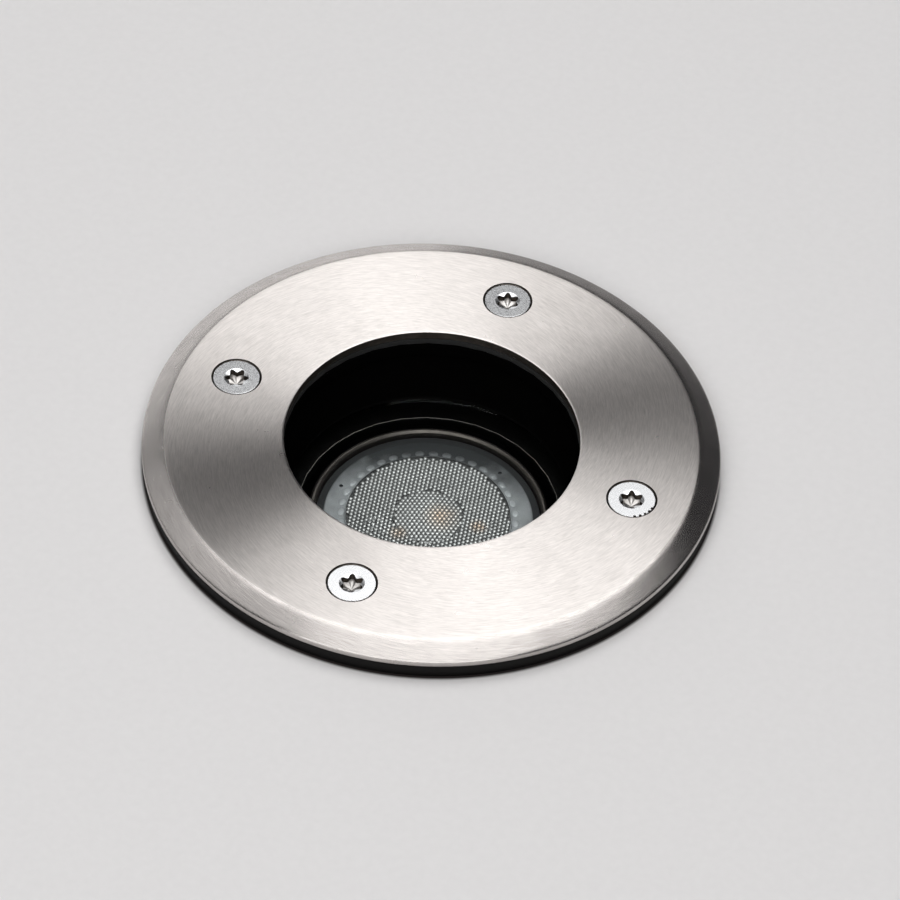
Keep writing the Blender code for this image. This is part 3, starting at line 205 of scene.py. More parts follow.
sleeve_black = moulded("sleeve_black", SLEEVE_BLACK, SLEEVE_GREY, 0.46)
sleeve = softened("ground_sleeve", sleeve_black, "sleeve_black")
brim = turned(BRIM_SECTION, BRIM_STEPS)
brim.from_mesh(sleeve.data)
brim.to_mesh(sleeve.data)
brim.free()
sleeve.data.shade_smooth()
sleeve.data.set_sharp_from_angle(angle=radians(40))
# The brim's faces take a darker copy of the sleeve's black, as painted shade under the ring.
sleeve.data.materials.append(moulded("brim_shade_black", BRIM_SHADE_BLACK, BRIM_SHADE_GREY, 0.56, Specular_IOR_Level=0.15))
for face in sleeve.data.polygons:
    face.material_index = int(RING_TOP - face.center.z < BRIM_DEPTH)


# Housing: the deep pot that carries everything, hung by its flange on the sleeve's ledge.
# Moulded in the same nylon, a little smoother, with four brass inserts pressed into its bosses.

HOUSING_BLACK = (0.014, 0.014, 0.015)
HOUSING_GREY = (0.030, 0.030, 0.032)
BRASS = (0.78, 0.56, 0.25)
BRASS_TARNISH = (0.50, 0.33, 0.14)
FINE_ROUNDING = 0.0001


def metal(name, bright, dull, roughness, scale=900.0, relief=0.00001, **sockets):
    """Bare or plated metal: patchy tarnish, fine tool marks and a gloss that varies with them."""
    material, surface, wire = finish(name, Metallic=1.0, **sockets)
    place = wire.node("TexCoord", output="Object")
    coarse = {"Vector": place, "Scale": scale / 4, "Detail": 4.0, "Roughness": 0.65}
    patches = wire.node("TexNoise", {}, coarse)
    marks = wire.node("TexNoise", {}, {"Vector": place, "Scale": scale * 2, "Detail": 2.0})
    wire.mix(patches, bright, dull).to(surface["Base Color"])
    (patches * 0.20 + marks * 0.10 + (roughness - 0.15)).to(surface["Roughness"])
    bump = wire.node("Bump", {}, {"Strength": 0.5, "Distance": relief, "Height": marks + patches})
    bump.to(surface["Normal"])
    return material


housing_black = moulded("housing_black", HOUSING_BLACK, HOUSING_GREY, 0.40)
softened("housing", housing_black, "housing_black")
insert_brass = metal("insert_brass", BRASS, BRASS_TARNISH, 0.34)
for number in (1, 2, 3, 4):
    softened(f"threaded_insert_{number}", insert_brass, "insert_brass", FINE_ROUNDING)


# Cable gland: body, washer and locknut clamp it in the housing's floor; its seal and nut grip the cable.
# Black nylon with moulded flats, and soft rubber for the washer and seal.

gland_black = moulded("gland_black", (0.012, 0.012, 0.012), (0.028, 0.028, 0.029), 0.38)
seal_rubber = moulded("seal_rubber", (0.012, 0.012, 0.012), (0.022, 0.022, 0.022), 0.78, 0.0003, 0.00002)
for node in ("gland_body", "gland_locknut", "gland_nut"):
    softened(node, gland_black, "gland_black")
for node in ("gland_washer", "gland_seal"):
    softened(node, seal_rubber, "seal_rubber")


# Terminal block: the mains cable's end, screwed to the floor of the housing beside the gland.
# White moulded shell with plated clamping screws, and two sleeved leads up to the lampholder.

SLIGHT_ROUNDING = 0.00005
block_white = moulded("block_white", (0.70, 0.69, 0.66), (0.80, 0.79, 0.76), 0.42)
zinc_steel = metal("zinc_steel", (0.74, 0.75, 0.77), (0.52, 0.53, 0.56), 0.36)
lead_brown = moulded("lead_brown", (0.16, 0.055, 0.022), (0.22, 0.080, 0.034), 0.46)
lead_blue = moulded("lead_blue", (0.020, 0.10, 0.34), (0.030, 0.15, 0.44), 0.46)
softened("terminal_block", block_white, "block_white")
for node in ("terminal_screw_1", "terminal_screw_2", "block_screw"):
    softened(node, zinc_steel, "zinc_steel", FINE_ROUNDING)
softened("lead_1", lead_brown, "lead_brown", SLIGHT_ROUNDING)
softened("lead_2", lead_blue, "lead_blue", SLIGHT_ROUNDING)


# Lampholder: a steatite disc with keyhole tracks, screwed to a zinc-plated plate on two posts.
# Pressed and fired ceramic, off-white with a slight glaze and dark specks, and brass contacts.

holder_ceramic = moulded("holder_ceramic", (0.72, 0.69, 0.62), (0.84, 0.82, 0.76), 0.36, 0.0003)
contact_brass = metal("contact_brass", BRASS, BRASS_TARNISH, 0.30)
softened("lampholder", holder_ceramic, "holder_ceramic", 0.00012)
for number in (1, 2):
    softened(f"holder_contact_{number}", contact_brass, "contact_brass", 0.00008)
    softened(f"holder_screw_{number}", zinc_steel, "zinc_steel", FINE_ROUNDING)
    softened(f"holder_nut_{number}", zinc_steel, "zinc_steel", FINE_ROUNDING)
    softened(f"plate_screw_{number}", zinc_steel, "zinc_steel", FINE_ROUNDING)
softened("holder_plate", zinc_steel, "zinc_steel", FINE_ROUNDING)


# Lamp: a two-pin spot lamp, its aluminium shell turned from the rim down to the neck.
# The rim is bare and dull; the shell carries the board with its light source, and the driver below.

LAMP_STEPS = 128
SHELL_SECTION = (
    (23.5, -23.3), (23.9, -22.9), (24.35, -22.9), (24.8, -23.3), (24.8, -27.4), (23.4, -35.15),
    (21.25, -42.9), (18.05, -50.65), (14.1, -58.4), (12.8, -58.4), (16.75, -50.65), (19.95, -42.9),
    (19.4, -33.0), (19.4, -31.8), (20.6, -31.8), (20.6, -26.8), (23.5, -26.8),
)
SHELL_CORNERS = SHELL_SECTION[1:4]


def on_corner(vert, radius, level):
    """Whether a turned shape's vertex lies at this radius and level of its section."""
    return abs(hypot(*vert.co.xy) - radius / 1000) + abs(vert.co.z - RING_TOP - level / 1000) < 0.000004


lamp_rim = metal("lamp_rim", (0.20, 0.18, 0.165), (0.12, 0.108, 0.10), 0.46)
shell = turned(SHELL_SECTION, LAMP_STEPS)
turned_edges = [
    edge for edge in shell.edges
    for corner in SHELL_CORNERS if all(on_corner(vert, *corner) for vert in edge.verts)
]
bmesh.ops.bevel(
    shell, geom=turned_edges, offset=FINE_ROUNDING, affect="EDGES", segments=3, profile=0.5, material=-1,
)
piece("lamp_shell_turned", shell, lamp_rim, "lamp_rim", "lamp_shell")

led_board_white = moulded("led_board_white", (0.78, 0.78, 0.76), (0.86, 0.86, 0.84), 0.40)
led_phosphor = moulded("led_phosphor", (0.86, 0.56, 0.10), (0.92, 0.66, 0.16), 0.50)
driver_board_green = moulded("driver_board_green", (0.020, 0.12, 0.045), (0.030, 0.18, 0.070), 0.36)
lamp_base_white = moulded("lamp_base_white", (0.74, 0.73, 0.71), (0.82, 0.81, 0.79), 0.38)
plated_brass = metal("plated_brass", (0.70, 0.69, 0.66), (0.52, 0.51, 0.48), 0.28)
softened("led_board", led_board_white, "led_board_white", SLIGHT_ROUNDING)
softened("led_chip", led_phosphor, "led_phosphor", SLIGHT_ROUNDING)
softened("driver_board", driver_board_green, "driver_board_green", SLIGHT_ROUNDING)
softened("lamp_base", lamp_base_white, "lamp_base_white")
for number in (1, 2):
    softened(f"lamp_pin_{number}", plated_brass, "plated_brass", FINE_ROUNDING)


# Lamp lens: one clear moulding with a frosted border, a honeycomb of small domes and a raised centre lens.
# Low pads stand round the border and two ejector marks are sunk in it. Each dome is painted with a highlight
# at its crown and shade at its foot, with painted sparkles in three patches and a painted glow round the
# middle. It is shaded opaque, and a painted amber glow stands for the light source behind it. The back of the
# border and the skirt below it are painted in shade.

LENS_SECTION = (
    (0, -23.40), (7.10, -23.62), (7.35, -23.84), (17.02, -24.04), (17.02, -23.70), (17.10, -23.60),
    (17.22, -23.60), (17.32, -23.70), (17.36, -24.00), (21.30, -24.00), (21.60, -24.06), (21.75, -24.22),
    (22.90, -24.34), (23.20, -24.50), (23.20, -26.50), (6.60, -26.50), (4.20, -28.10), (0, -28.10),
)
BORDER_LEVEL = -24.0
PAD_COUNT = 40
PAD_CIRCLE = 18.15
PAD_SHAPE = (0.75, 1.0, 0.14, 1.0)
EJECTOR_CIRCLE = 19.9
EJECTOR_TURNS = (62.7, 176.5)
CELL_PITCH = 0.954
FIELD_TURN = 42
FIELD_DOME = 0.30
CENTRE_TURN = 21
CENTRE_DOME = 0.21
CROWN_RADIUS = 7.30
CROWN_SHEEN = 0.3
FIELD_RADIUS = 17.10
PLATE_FOOT = -24.6
DOME_STEPS = ((0.00010, 0.00055), (0.00016, 0.00033))
DOME_TIP = 0.00012
DOME_HIGHLIGHT_SHARES = (0.0, 0.45, 0.85, 1.0)


def honeycomb(shape, turn, inside, level, height):
    """Adds a plate of six-sided domes, with its walls sunk in the lens, wherever inside(x, y) holds.

    level(x, y) is the level of the domes' feet, and height says how high they stand.
    """
    lots = shape.verts.layers.float["lot"]
    bright = shape.verts.layers.float["bright"]
    body = set(shape.faces)
    draw = Random(turn)
    across = Matrix.Rotation(radians(turn), 4, "Z")
    cells = []
    corner = CELL_PITCH / sqrt(3) / 1000
    reach = int(FIELD_RADIUS / CELL_PITCH * 1.2) + 1
    for row in range(-reach, reach + 1):
        for column in range(-reach, reach + 1):
            x = (column + row / 2) * CELL_PITCH
            y = row * sqrt(3) / 2 * CELL_PITCH
            if inside(x, y):
                spot = across @ Matrix.Translation((x / 1000, y / 1000, 0))
                rim = bmesh.ops.create_circle(shape, cap_ends=True, radius=corner, segments=6, matrix=spot)
                cells.append(rim["verts"][0].link_faces[0])
    bmesh.ops.remove_doubles(shape, verts=[vert for cell in cells for vert in cell.verts], dist=0.00002)
    rings = [{vert for cell in cells for vert in cell.verts}]
    for width, rise in DOME_STEPS:
        rise *= height
        bmesh.ops.inset_individual(shape, faces=cells, thickness=width, depth=rise, use_even_offset=True)
        rings.append({vert for cell in cells for vert in cell.verts})
    for cell in cells:
        lot = draw.random()
        for vert in cell.verts:
            vert[lots] = lot
    rings.append(bmesh.ops.poke(shape, faces=cells, offset=height * DOME_TIP)["verts"])
    # Each ring of a dome gets its share of the painted highlight, none at the foot and all at the tip.
    for ring, share in zip(rings, DOME_HIGHLIGHT_SHARES):
        for vert in ring:
            vert[bright] = share
            vert.co.z += RING_TOP + level(vert.co.x * 1000, vert.co.y * 1000) / 1000
    open_edges = [edge for edge in shape.edges if edge.is_boundary]
    walls = bmesh.ops.extrude_edge_only(shape, edges=open_edges)["geom"]
    sunk = {part for part in walls if isinstance(part, bmesh.types.BMVert)}
    for vert in sunk:
        vert.co.z = RING_TOP + PLATE_FOOT / 1000
    bmesh.ops.holes_fill(shape, edges=[edge for edge in shape.edges if sunk.issuperset(edge.verts)])
    bmesh.ops.recalc_face_normals(shape, faces=[face for face in shape.faces if face not in body])
    return shape


def cut(shape, *cutters):
    """The shape with each cutter taken out of it."""
    meshes = [bpy.data.meshes.new("cut") for _ in range(len(cutters) + 1)]
    objects = [bpy.data.objects.new("cut", mesh) for mesh in meshes]
    for mesh, source in zip(meshes, (shape, *cutters)):
        source.to_mesh(mesh)
        source.free()
    for tool in objects[1:]:
        boolean = objects[0].modifiers.new("cut", "BOOLEAN")
        boolean.operation = "DIFFERENCE"
        boolean.solver = "EXACT"
        boolean.object = tool
    for one in objects:
        bpy.context.scene.collection.objects.link(one)
    result = bmesh.new()
    result.from_object(objects[0], bpy.context.evaluated_depsgraph_get())
    for one in objects:
        bpy.data.objects.remove(one)
    bmesh.ops.remove_doubles(result, verts=result.verts, dist=MERGE_DISTANCE)
    bmesh.ops.dissolve_degenerate(result, edges=result.edges, dist=MERGE_DISTANCE)
    return result


def near(wire, place, x, y, reach):
    """1 at this spot of the lens, falling to 0 at its reach, in millimetres."""
    spot = (x / 1000, y / 1000, RING_TOP - 0.0236)
    away = wire.node("VectorMath", {"operation": "DISTANCE"}, {0: place, 1: spot}, "Value")
    falling = {"Value": away, "From Min": 0.0, "From Max": reach / 1000, "To Min": 1.0, "To Max": 0.0}
    return wire.node("MapRange", {"interpolation_type": "SMOOTHSTEP"}, falling)


def on_border(turn, circle):
    """The place on the lens's border at this turn, in radians, on this circle."""
    border = RING_TOP + BORDER_LEVEL / 1000
    return Matrix.Rotation(turn, 4, "Z") @ Matrix.Translation((circle / 1000, 0, border))


ejectors = [bmesh.new() for _ in EJECTOR_TURNS]
for ejector, turn in zip(ejectors, EJECTOR_TURNS):
    bmesh.ops.create_cone(
        ejector, cap_ends=True, segments=24, radius1=0.00042, radius2=0.00045, depth=0.0008,
        matrix=on_border(radians(turn), EJECTOR_CIRCLE),
    )
lens = cut(turned(LENS_SECTION, LAMP_STEPS), *ejectors)
lots = lens.verts.layers.float.new("lot")
bright = lens.verts.layers.float.new("bright")
# The centre lens's body carries a faint painted sheen.
for vert in lens.verts:
    vert[bright] = CROWN_SHEEN * (hypot(*vert.co.xy) < 0.008)
for number in range(PAD_COUNT):
    spot = on_border(2 * pi * number / PAD_COUNT, PAD_CIRCLE) @ Matrix.Diagonal(PAD_SHAPE)
    pad = bmesh.ops.create_uvsphere(lens, u_segments=14, v_segments=8, radius=0.001, matrix=spot)
    for vert in pad["verts"]:
        vert[lots] = 1.0
honeycomb(
    lens, FIELD_TURN,
    lambda x, y: CROWN_RADIUS + 0.1 < hypot(x, y) < FIELD_RADIUS - 0.42,
    lambda x, y: -23.66 - 0.022 * (hypot(x, y) - CROWN_RADIUS), FIELD_DOME,
)
honeycomb(
    lens, CENTRE_TURN,
    lambda x, y: hypot(x, y) < CROWN_RADIUS - 0.35,
    lambda x, y: -23.27 - 0.0062 * (x * x + y * y), CENTRE_DOME,
)

DARK_GREY = (0.15, 0.151, 0.152)
MIDDLE_GREY = (0.47, 0.475, 0.475)
GLINT = (0.93, 0.935, 0.93)
AMBER = (0.80, 0.47, 0.22)
FROST_SHADE = (0.07, 0.074, 0.078)
FROST = (0.74, 0.77, 0.80)
SKIRT_SHADE = (0.075, 0.078, 0.082)
FIELD_EDGE = {"From Min": 0.01701, "From Max": 0.01706}
BORDER_EDGE = {"From Min": RING_TOP - 0.02420, "From Max": RING_TOP - 0.02405}
BACK_SHADE_SPREAD = {"From Min": 0.006, "From Max": 0.021}
material, surface, wire = finish("lamp_optic", IOR=1.49)
place = wire.node("TexCoord", output="Object")
x, y, z = (wire.node("SeparateXYZ", {}, {"Vector": place}, axis) for axis in "XYZ")
radius = wire.math("SQRT", x * x + y * y)
border = wire.node("MapRange", {}, {"Value": radius, **FIELD_EDGE})
top = wire.node("MapRange", {}, {"Value": z, **BORDER_EDGE})
dome = wire.node("Attribute", {"attribute_name": "bright"}, output="Fac")
lot = wire.node("Attribute", {"attribute_name": "lot"}, output="Fac")
cloud = wire.node("TexNoise", {}, {"Vector": place, "Scale": 260.0, "Detail": 3.0})
# Painted light on the domes: the "bright" highlight, painted sparkles in three patches and a painted glow
# round the middle.
sparkle_noise = wire.node("TexNoise", {}, {"Vector": place, "Scale": 3000.0, "Detail": 1.0})
painted_sparkle = near(wire, place, -8.3, -6.0, 6.0) + near(wire, place, 12.3, 1.0, 5.0) * 0.8
painted_sparkle += near(wire, place, -4.1, 11.5, 5.0) * 0.4
painted_middle_glow = near(wire, place, 0.0, 0.0, 8.0) * 0.12
shine = dome * (0.50 + lot * 0.25 + cloud * 0.4 + painted_sparkle * (sparkle_noise * 7 - 3.4)) + painted_middle_glow
stops = ((0.0, DARK_GREY), (0.5, MIDDLE_GREY), (1.0, GLINT))
grey = wire.node("ValToRGB", {"stops": stops}, {"Fac": shine})
# A painted amber glow stands for the light source seen through the lens.
painted_amber_glow = near(wire, place, 2.6, 0.6, 5.0) + near(wire, place, 10.5, 1.3, 2.6)
painted_amber_glow += near(wire, place, -3.9, -6.8, 2.6)
amber = wire.mix(painted_amber_glow * cloud * dome, grey, AMBER)
# Painted shade: the border darkens towards the back, and the skirt below it is dark.
painted_back_shade = wire.node("MapRange", {}, {"Value": y * 0.945 - x * 0.327, **BACK_SHADE_SPREAD})
frost = wire.mix(lot * 0.18 + cloud * 0.5 + 0.25 - painted_back_shade * 0.7, FROST_SHADE, FROST)
shaded_skirt = wire.mix(top, SKIRT_SHADE, frost)
wire.mix(border, amber, shaded_skirt).to(surface["Base Color"])
(border * 0.24 + 0.18).to(surface["Roughness"])
(0.5 - border * 0.25).to(surface["Metallic"])
piece("lamp_lens_moulded", lens, material, "lamp_optic", "lamp_lens", smooth=60)


# Baffle tube: the black well between the ring and the glass, with its flange on the housing.
# Moulded in black nylon; the inside of the well takes a near-black far darker than the nylon: painted shade
# in the well.
# A rubber seal lies under its flange and another between its flange and the ring.

BAFFLE_SHADE_BLACK = (0.0010, 0.0010, 0.0010)
BAFFLE_SHADE_GREY = (0.0022, 0.0021, 0.0020)
baffle_black = moulded(
    "baffle_black", BAFFLE_SHADE_BLACK, BAFFLE_SHADE_GREY, 0.85, relief=0.000005, Specular_IOR_Level=0.0,
)
baffle = softened("baffle_tube", baffle_black, "baffle_black")
baffle.data.materials.append(housing_black)
# Faces turned outwards take the housing's nylon; those inside keep the painted-shade black.
for face in baffle.data.polygons:
    face.material_index = int(face.normal.x * face.center.x + face.normal.y * face.center.y > 0.0)
softened("flange_seal", seal_rubber, "seal_rubber", FINE_ROUNDING)
softened("trim_gasket", seal_rubber, "seal_rubber", FINE_ROUNDING)


# Glass: a toughened disc with ground edges at the foot of the well, between its seal and the retainer.
# Coated against reflections, so that little more than a faint gloss shows.

GLASS_SECTION = ((0, -19.0), (31.2, -19.0), (31.6, -19.4), (31.6, -21.6), (31.2, -22.0), (0, -22.0))
material, surface, wire = finish("clear_glass")
nodes = material.node_tree.nodes
clear = wire.node("BsdfTransparent", {}, {"Color": (0.965, 0.975, 0.97, 1.0)})
gloss = wire.node("BsdfAnisotropic", {}, {"Color": (0.9, 0.9, 0.9, 1.0), "Roughness": 0.02})
edge = wire.node("Fresnel", {}, {"IOR": 1.18})
place = wire.node("TexCoord", output="Object")
smear = wire.node("TexNoise", {}, {"Vector": place, "Scale": 90.0, "Detail": 3.0})
both = wire.node("MixShader", {}, {0: edge * (0.6 + smear * 0.5), 1: clear, 2: gloss})
both.to(nodes["Material Output"].inputs["Surface"])
nodes.remove(nodes["Principled BSDF"])
piece("glass_disc_ground", turned(GLASS_SECTION, LAMP_STEPS), material, "clear_glass", "glass_disc")

# The glass's seal takes a far darker copy of the seal rubber: painted shade at the foot of the well.
SEAL_SHADE_BLACK = (0.0016, 0.0016, 0.0016)
SEAL_SHADE_GREY = (0.0034, 0.0033, 0.0032)
shaded_seal_rubber = moulded("shaded_seal_rubber", SEAL_SHADE_BLACK, SEAL_SHADE_GREY, 0.85, Specular_IOR_Level=0.02)
softened("glass_seal", shaded_seal_rubber, "seal_rubber", FINE_ROUNDING)


# Glass retainer: the turned ring that holds the glass from below, with notches in its foot for a spanner.
# Anodised black aluminium, painted a far darker black as shade at the foot of the well; the upper edge of its
# hole takes a brighter metal, a painted highlight.

RETAINER_SHADE_BLACK = (0.0012, 0.0012, 0.0012)
RETAINER_SHADE_GREY = (0.0026, 0.0025, 0.0024)
HOLE_RADIUS = 0.0270
HOLE_DEPTH = 0.0223
EDGE_WIDTH = 0.00016
retainer_black = moulded(
    "retainer_black", RETAINER_SHADE_BLACK, RETAINER_SHADE_GREY, 0.50, relief=0.000005, Specular_IOR_Level=0.1,
)
retainer = softened("glass_retainer", retainer_black, "retainer_black", 0.0002)
# The upper edge of the hole gets a brighter metal: a painted highlight.
retainer.data.materials.append(metal("edge_highlight", (0.34, 0.32, 0.30), (0.22, 0.20, 0.19), 0.40))
for face in retainer.data.polygons:
    at_hole = abs(hypot(*face.center.xy) - HOLE_RADIUS) < EDGE_WIDTH
    face.material_index = int(at_hole and abs(RING_TOP - face.center.z - HOLE_DEPTH) < EDGE_WIDTH)


# Trim ring: turned from stainless plate, with a flat top, a bevel down to a thin edge and four countersinks.
# Brushed as it spins, so its grain runs round the ring and the light falls on it in a bow. The bevel is
# painted a darker steel than the flat, as painted shade; the hole and the countersinks are painted dark, as
# painted shade in the bore and round the screw heads.

TRIM_STEPS = 256
TRIM_SECTION = (
    (30.0, -0.20), (30.06, -0.06), (30.2, 0), (30.5, 0), (36.0, 0), (48.8, 0), (53.6, 0), (54.0, -0.004),
    (54.2, -0.025), (54.45, -0.075), (54.7, -0.15), (54.95, -0.245), (55.25, -0.375), (55.6, -0.535),
    (58.1, -1.77), (58.4, -1.93), (58.58, -2.06), (58.67, -2.20), (58.7, -2.36), (58.7, -3.05),
    (58.66, -3.14), (58.55, -3.2), (37.3, -3.2), (37.3, -1.85), (30.12, -1.85), (30.0, -1.75),
)
BORE_RADIUS = 30.1
BEVEL_START = 54.22
COUNTERSINK_RADIUS = 5.17
COUNTERSINK_SECTION = (
    (0, 1.0), (COUNTERSINK_RADIUS, 1.0), (COUNTERSINK_RADIUS, -0.35), (2.75, -2.77), (2.75, -4.0), (0, -4.0),
)
COUNTERSINK_STEPS = 64
SCREW_CIRCLE = 43.0
STEEL = (0.845, 0.798, 0.768)
STEEL_DULL = (0.575, 0.543, 0.518)
SHADED_BEVEL_STEEL = (0.635, 0.600, 0.578)
SHADED_BEVEL_DULL = (0.430, 0.402, 0.384)
STREAK_WIDTH = 0.00022
STREAK_TURNS = 16
STREAK_DRIFT = 0.045


def countersink(x, y):
    """The cutter for one screw's hole: a straight mouth, a cone and a clearance hole."""
    cutter = turned(COUNTERSINK_SECTION, COUNTERSINK_STEPS)
    bmesh.ops.translate(cutter, verts=cutter.verts, vec=(x / 1000, y / 1000, 0))
    return cutter


def brushed(name, bright, dull, roughness, slant, dish):
    """Steel brushed as it spins: short streaks run round the upright axis and drift outwards by slant.

    The light falls on it as if it were a little hollow, by dish. Both are in degrees.
    """
    turn = 0.25 - slant / 360
    material, surface, wire = finish(name, Metallic=1.0, Anisotropic=1.0, Anisotropic_Rotation=turn)
    place = wire.node("TexCoord", output="Object")
    x, y, z = (wire.node("SeparateXYZ", {}, {"Vector": place}, axis) for axis in "XYZ")
    radius = wire.math("SQRT", x * x + y * y)
    drift = wire.math("ARCTAN2", y, x) * (STREAK_DRIFT * sin(radians(slant)))
    along = {"X": x / radius * STREAK_TURNS, "Y": y / radius * STREAK_TURNS}
    run = wire.node("CombineXYZ", {}, {**along, "Z": (radius - z - drift) * (1 / STREAK_WIDTH)})
    fine = wire.node("TexNoise", {}, {"Vector": run, "Scale": 1.0, "Detail": 2.0, "Roughness": 0.7})
    cloud = wire.node("TexNoise", {}, {"Vector": place, "Scale": 230.0, "Detail": 3.0, "Roughness": 0.6})
    wire.mix(fine * 1.6 + cloud * 0.3 - 0.45, bright, dull).to(surface["Base Color"])
    (cloud * 0.12 + (roughness - 0.06)).to(surface["Roughness"])
    hollow = {"Strength": 1.0, "Distance": 1.0, "Height": radius * sin(radians(dish))}
    wire.node("Bump", {}, hollow).to(surface["Normal"])
    return material


trim_steel = brushed("trim_steel", STEEL, STEEL_DULL, 0.30, 9, 1.5)
# The bevel's copy of the steel is darker: painted shade.
shaded_bevel_steel = brushed("shaded_bevel_steel", SHADED_BEVEL_STEEL, SHADED_BEVEL_DULL, 0.25, 10, 3.0)
quarters = (0, pi / 2, pi, 3 * pi / 2)
holes = [countersink(SCREW_CIRCLE * cos(turn), SCREW_CIRCLE * sin(turn)) for turn in quarters]
ring = cut(turned(TRIM_SECTION, TRIM_STEPS), *holes)
for face in ring.faces:
    radius = hypot(*face.calc_center_median().xy) * 1000
    in_hole = abs(radius - SCREW_CIRCLE) < COUNTERSINK_RADIUS + 0.03 and face.normal.z < 0.99
    if in_hole or radius < BORE_RADIUS:
        face.material_index = 2
    elif radius > BEVEL_START:
        face.material_index = 1
trim = piece("trim_ring_brushed", ring, trim_steel, "trim_steel", "trim_ring", smooth=35)
trim.data.materials.append(shaded_bevel_steel)
# The bore and the countersinks take a dark steel: painted shade in the hollows.
trim.data.materials.append(metal("shaded_cut_steel", (0.15, 0.13, 0.115), (0.08, 0.068, 0.058), 0.45))


# Trim screws: four countersunk machine screws with a six-lobed socket, through the ring into the inserts.
# Turned heads, bright, with the socket punched cold. A tool has marked the rim of one head. The socket's
# walls and floor
# and the tool marks are painted darker: painted shade in these hollows.

SCREW_SECTION = (
    (0, -0.15), (4.68, -0.15), (4.75, -0.18), (4.77, -0.25), (4.77, -0.50), (2.35, -2.92), (2.35, -3.30),
    (1.98, -3.60), (1.98, -14.85), (1.70, -15.15), (0, -15.15),
)
SCREW_STEPS = 96
SOCKET_RADIUS = 2.08
SOCKET_LOBE = 0.39
SOCKET_FOOT = ((-1.70, 1.0), (-2.22, 0.06))
SOCKET_TURNS = {1: 49.1, 2: 49.1, 3: 19.1, 4: 49.1}
MOUTH_RADIUS = 3.12
MOUTH_FOOT = ((-0.55, 0.45), (-0.60, 0.90))
SOCKET_REACH = 0.0025
SOCKET_DEPTH = 0.0024
FLOOR_DEPTH = 0.0016
NOTCH_TURNS = (-63, -49, -35, -21, -9)
NOTCH_CIRCLE = 4.66
NOTCH_INSIDE = 0.0042
NOTCH_OUTSIDE = 0.00474
HEAD_DEPTH = 0.0002
THREAD_CREST = 2.35
THREAD_ROOT = 1.98
THREAD_PITCH = 0.80
THREAD_TOP = -4.0
THREAD_TURNS = 13
THREAD_STEPS = 24


def drawn_down(shape, rim, steps):
    """Draws a closed rim down through levels, each a share of the last one's size, and closes both ends."""
    for level, share in steps:
        made = bmesh.ops.extrude_edge_only(shape, edges=rim)["geom"]
        fresh = {part for part in made if isinstance(part, bmesh.types.BMVert)}
        rim = [edge for edge in shape.edges if fresh.issuperset(edge.verts)]
        for vert in fresh:
            vert.co.xy *= share
            vert.co.z = RING_TOP + level / 1000
    bmesh.ops.holes_fill(shape, edges=shape.edges)
    bmesh.ops.recalc_face_normals(shape, faces=shape.faces)
    return shape


def socket_punch(turn):
    """The cutter for a screw's socket: six rounded lobes down to a blunt foot."""
    punch = bmesh.new()
    for vert in bmesh.ops.create_circle(punch, radius=SOCKET_RADIUS / 1000, segments=SCREW_STEPS)["verts"]:
        vert.co.xy *= 1 + SOCKET_LOBE / SOCKET_RADIUS * cos(6 * (atan2(vert.co.y, vert.co.x) - radians(turn)))
        vert.co.z = RING_TOP + 0.001
    return drawn_down(punch, list(punch.edges), SOCKET_FOOT)


def mouth_cone():
    """The cutter for the cone at the socket's mouth."""
    cone = bmesh.new()
    for vert in bmesh.ops.create_circle(cone, radius=MOUTH_RADIUS / 1000, segments=SCREW_STEPS)["verts"]:
        vert.co.z = RING_TOP + 0.00005
    return drawn_down(cone, list(cone.edges), MOUTH_FOOT)


def rim_notches():
    """The cutters for the marks that a tool has left in the rim of one head."""
    for turn in NOTCH_TURNS:
        notch = bmesh.new()
        place = Matrix.Translation((NOTCH_CIRCLE / 1000, 0, RING_TOP - 0.00015))
        bmesh.ops.create_cone(
            notch, cap_ends=True, segments=16, radius1=0.00028, radius2=0.00034, depth=0.0006,
            matrix=Matrix.Rotation(radians(turn), 4, "Z") @ place,
        )
        yield notch


def add_thread(shape):
    """Adds a rolled thread, one ridge carried round and down the shank."""
    inside = THREAD_ROOT - 0.2
    ridge = (
        (inside, 0.30), (THREAD_ROOT, 0.30), (THREAD_CREST, 0.05),
        (THREAD_CREST, -0.05), (THREAD_ROOT, -0.30), (inside, -0.30),
    )
    top = RING_TOP + THREAD_TOP / 1000
    corners = [shape.verts.new((radius / 1000, 0, top + level / 1000)) for radius, level in ridge]
    outline = [shape.edges.new(pair) for pair in zip(corners, corners[1:] + corners[:1])]
    shank = set(shape.faces)
    bmesh.ops.spin(
        shape, geom=corners + outline, axis=(0, 0, 1), dvec=(0, 0, -THREAD_PITCH / THREAD_STEPS / 1000),
        angle=2 * pi * THREAD_TURNS, steps=THREAD_TURNS * THREAD_STEPS,
    )
    bmesh.ops.holes_fill(shape, edges=[edge for edge in shape.edges if edge.is_boundary])
    bmesh.ops.recalc_face_normals(shape, faces=[face for face in shape.faces if face not in shank])
    return shape


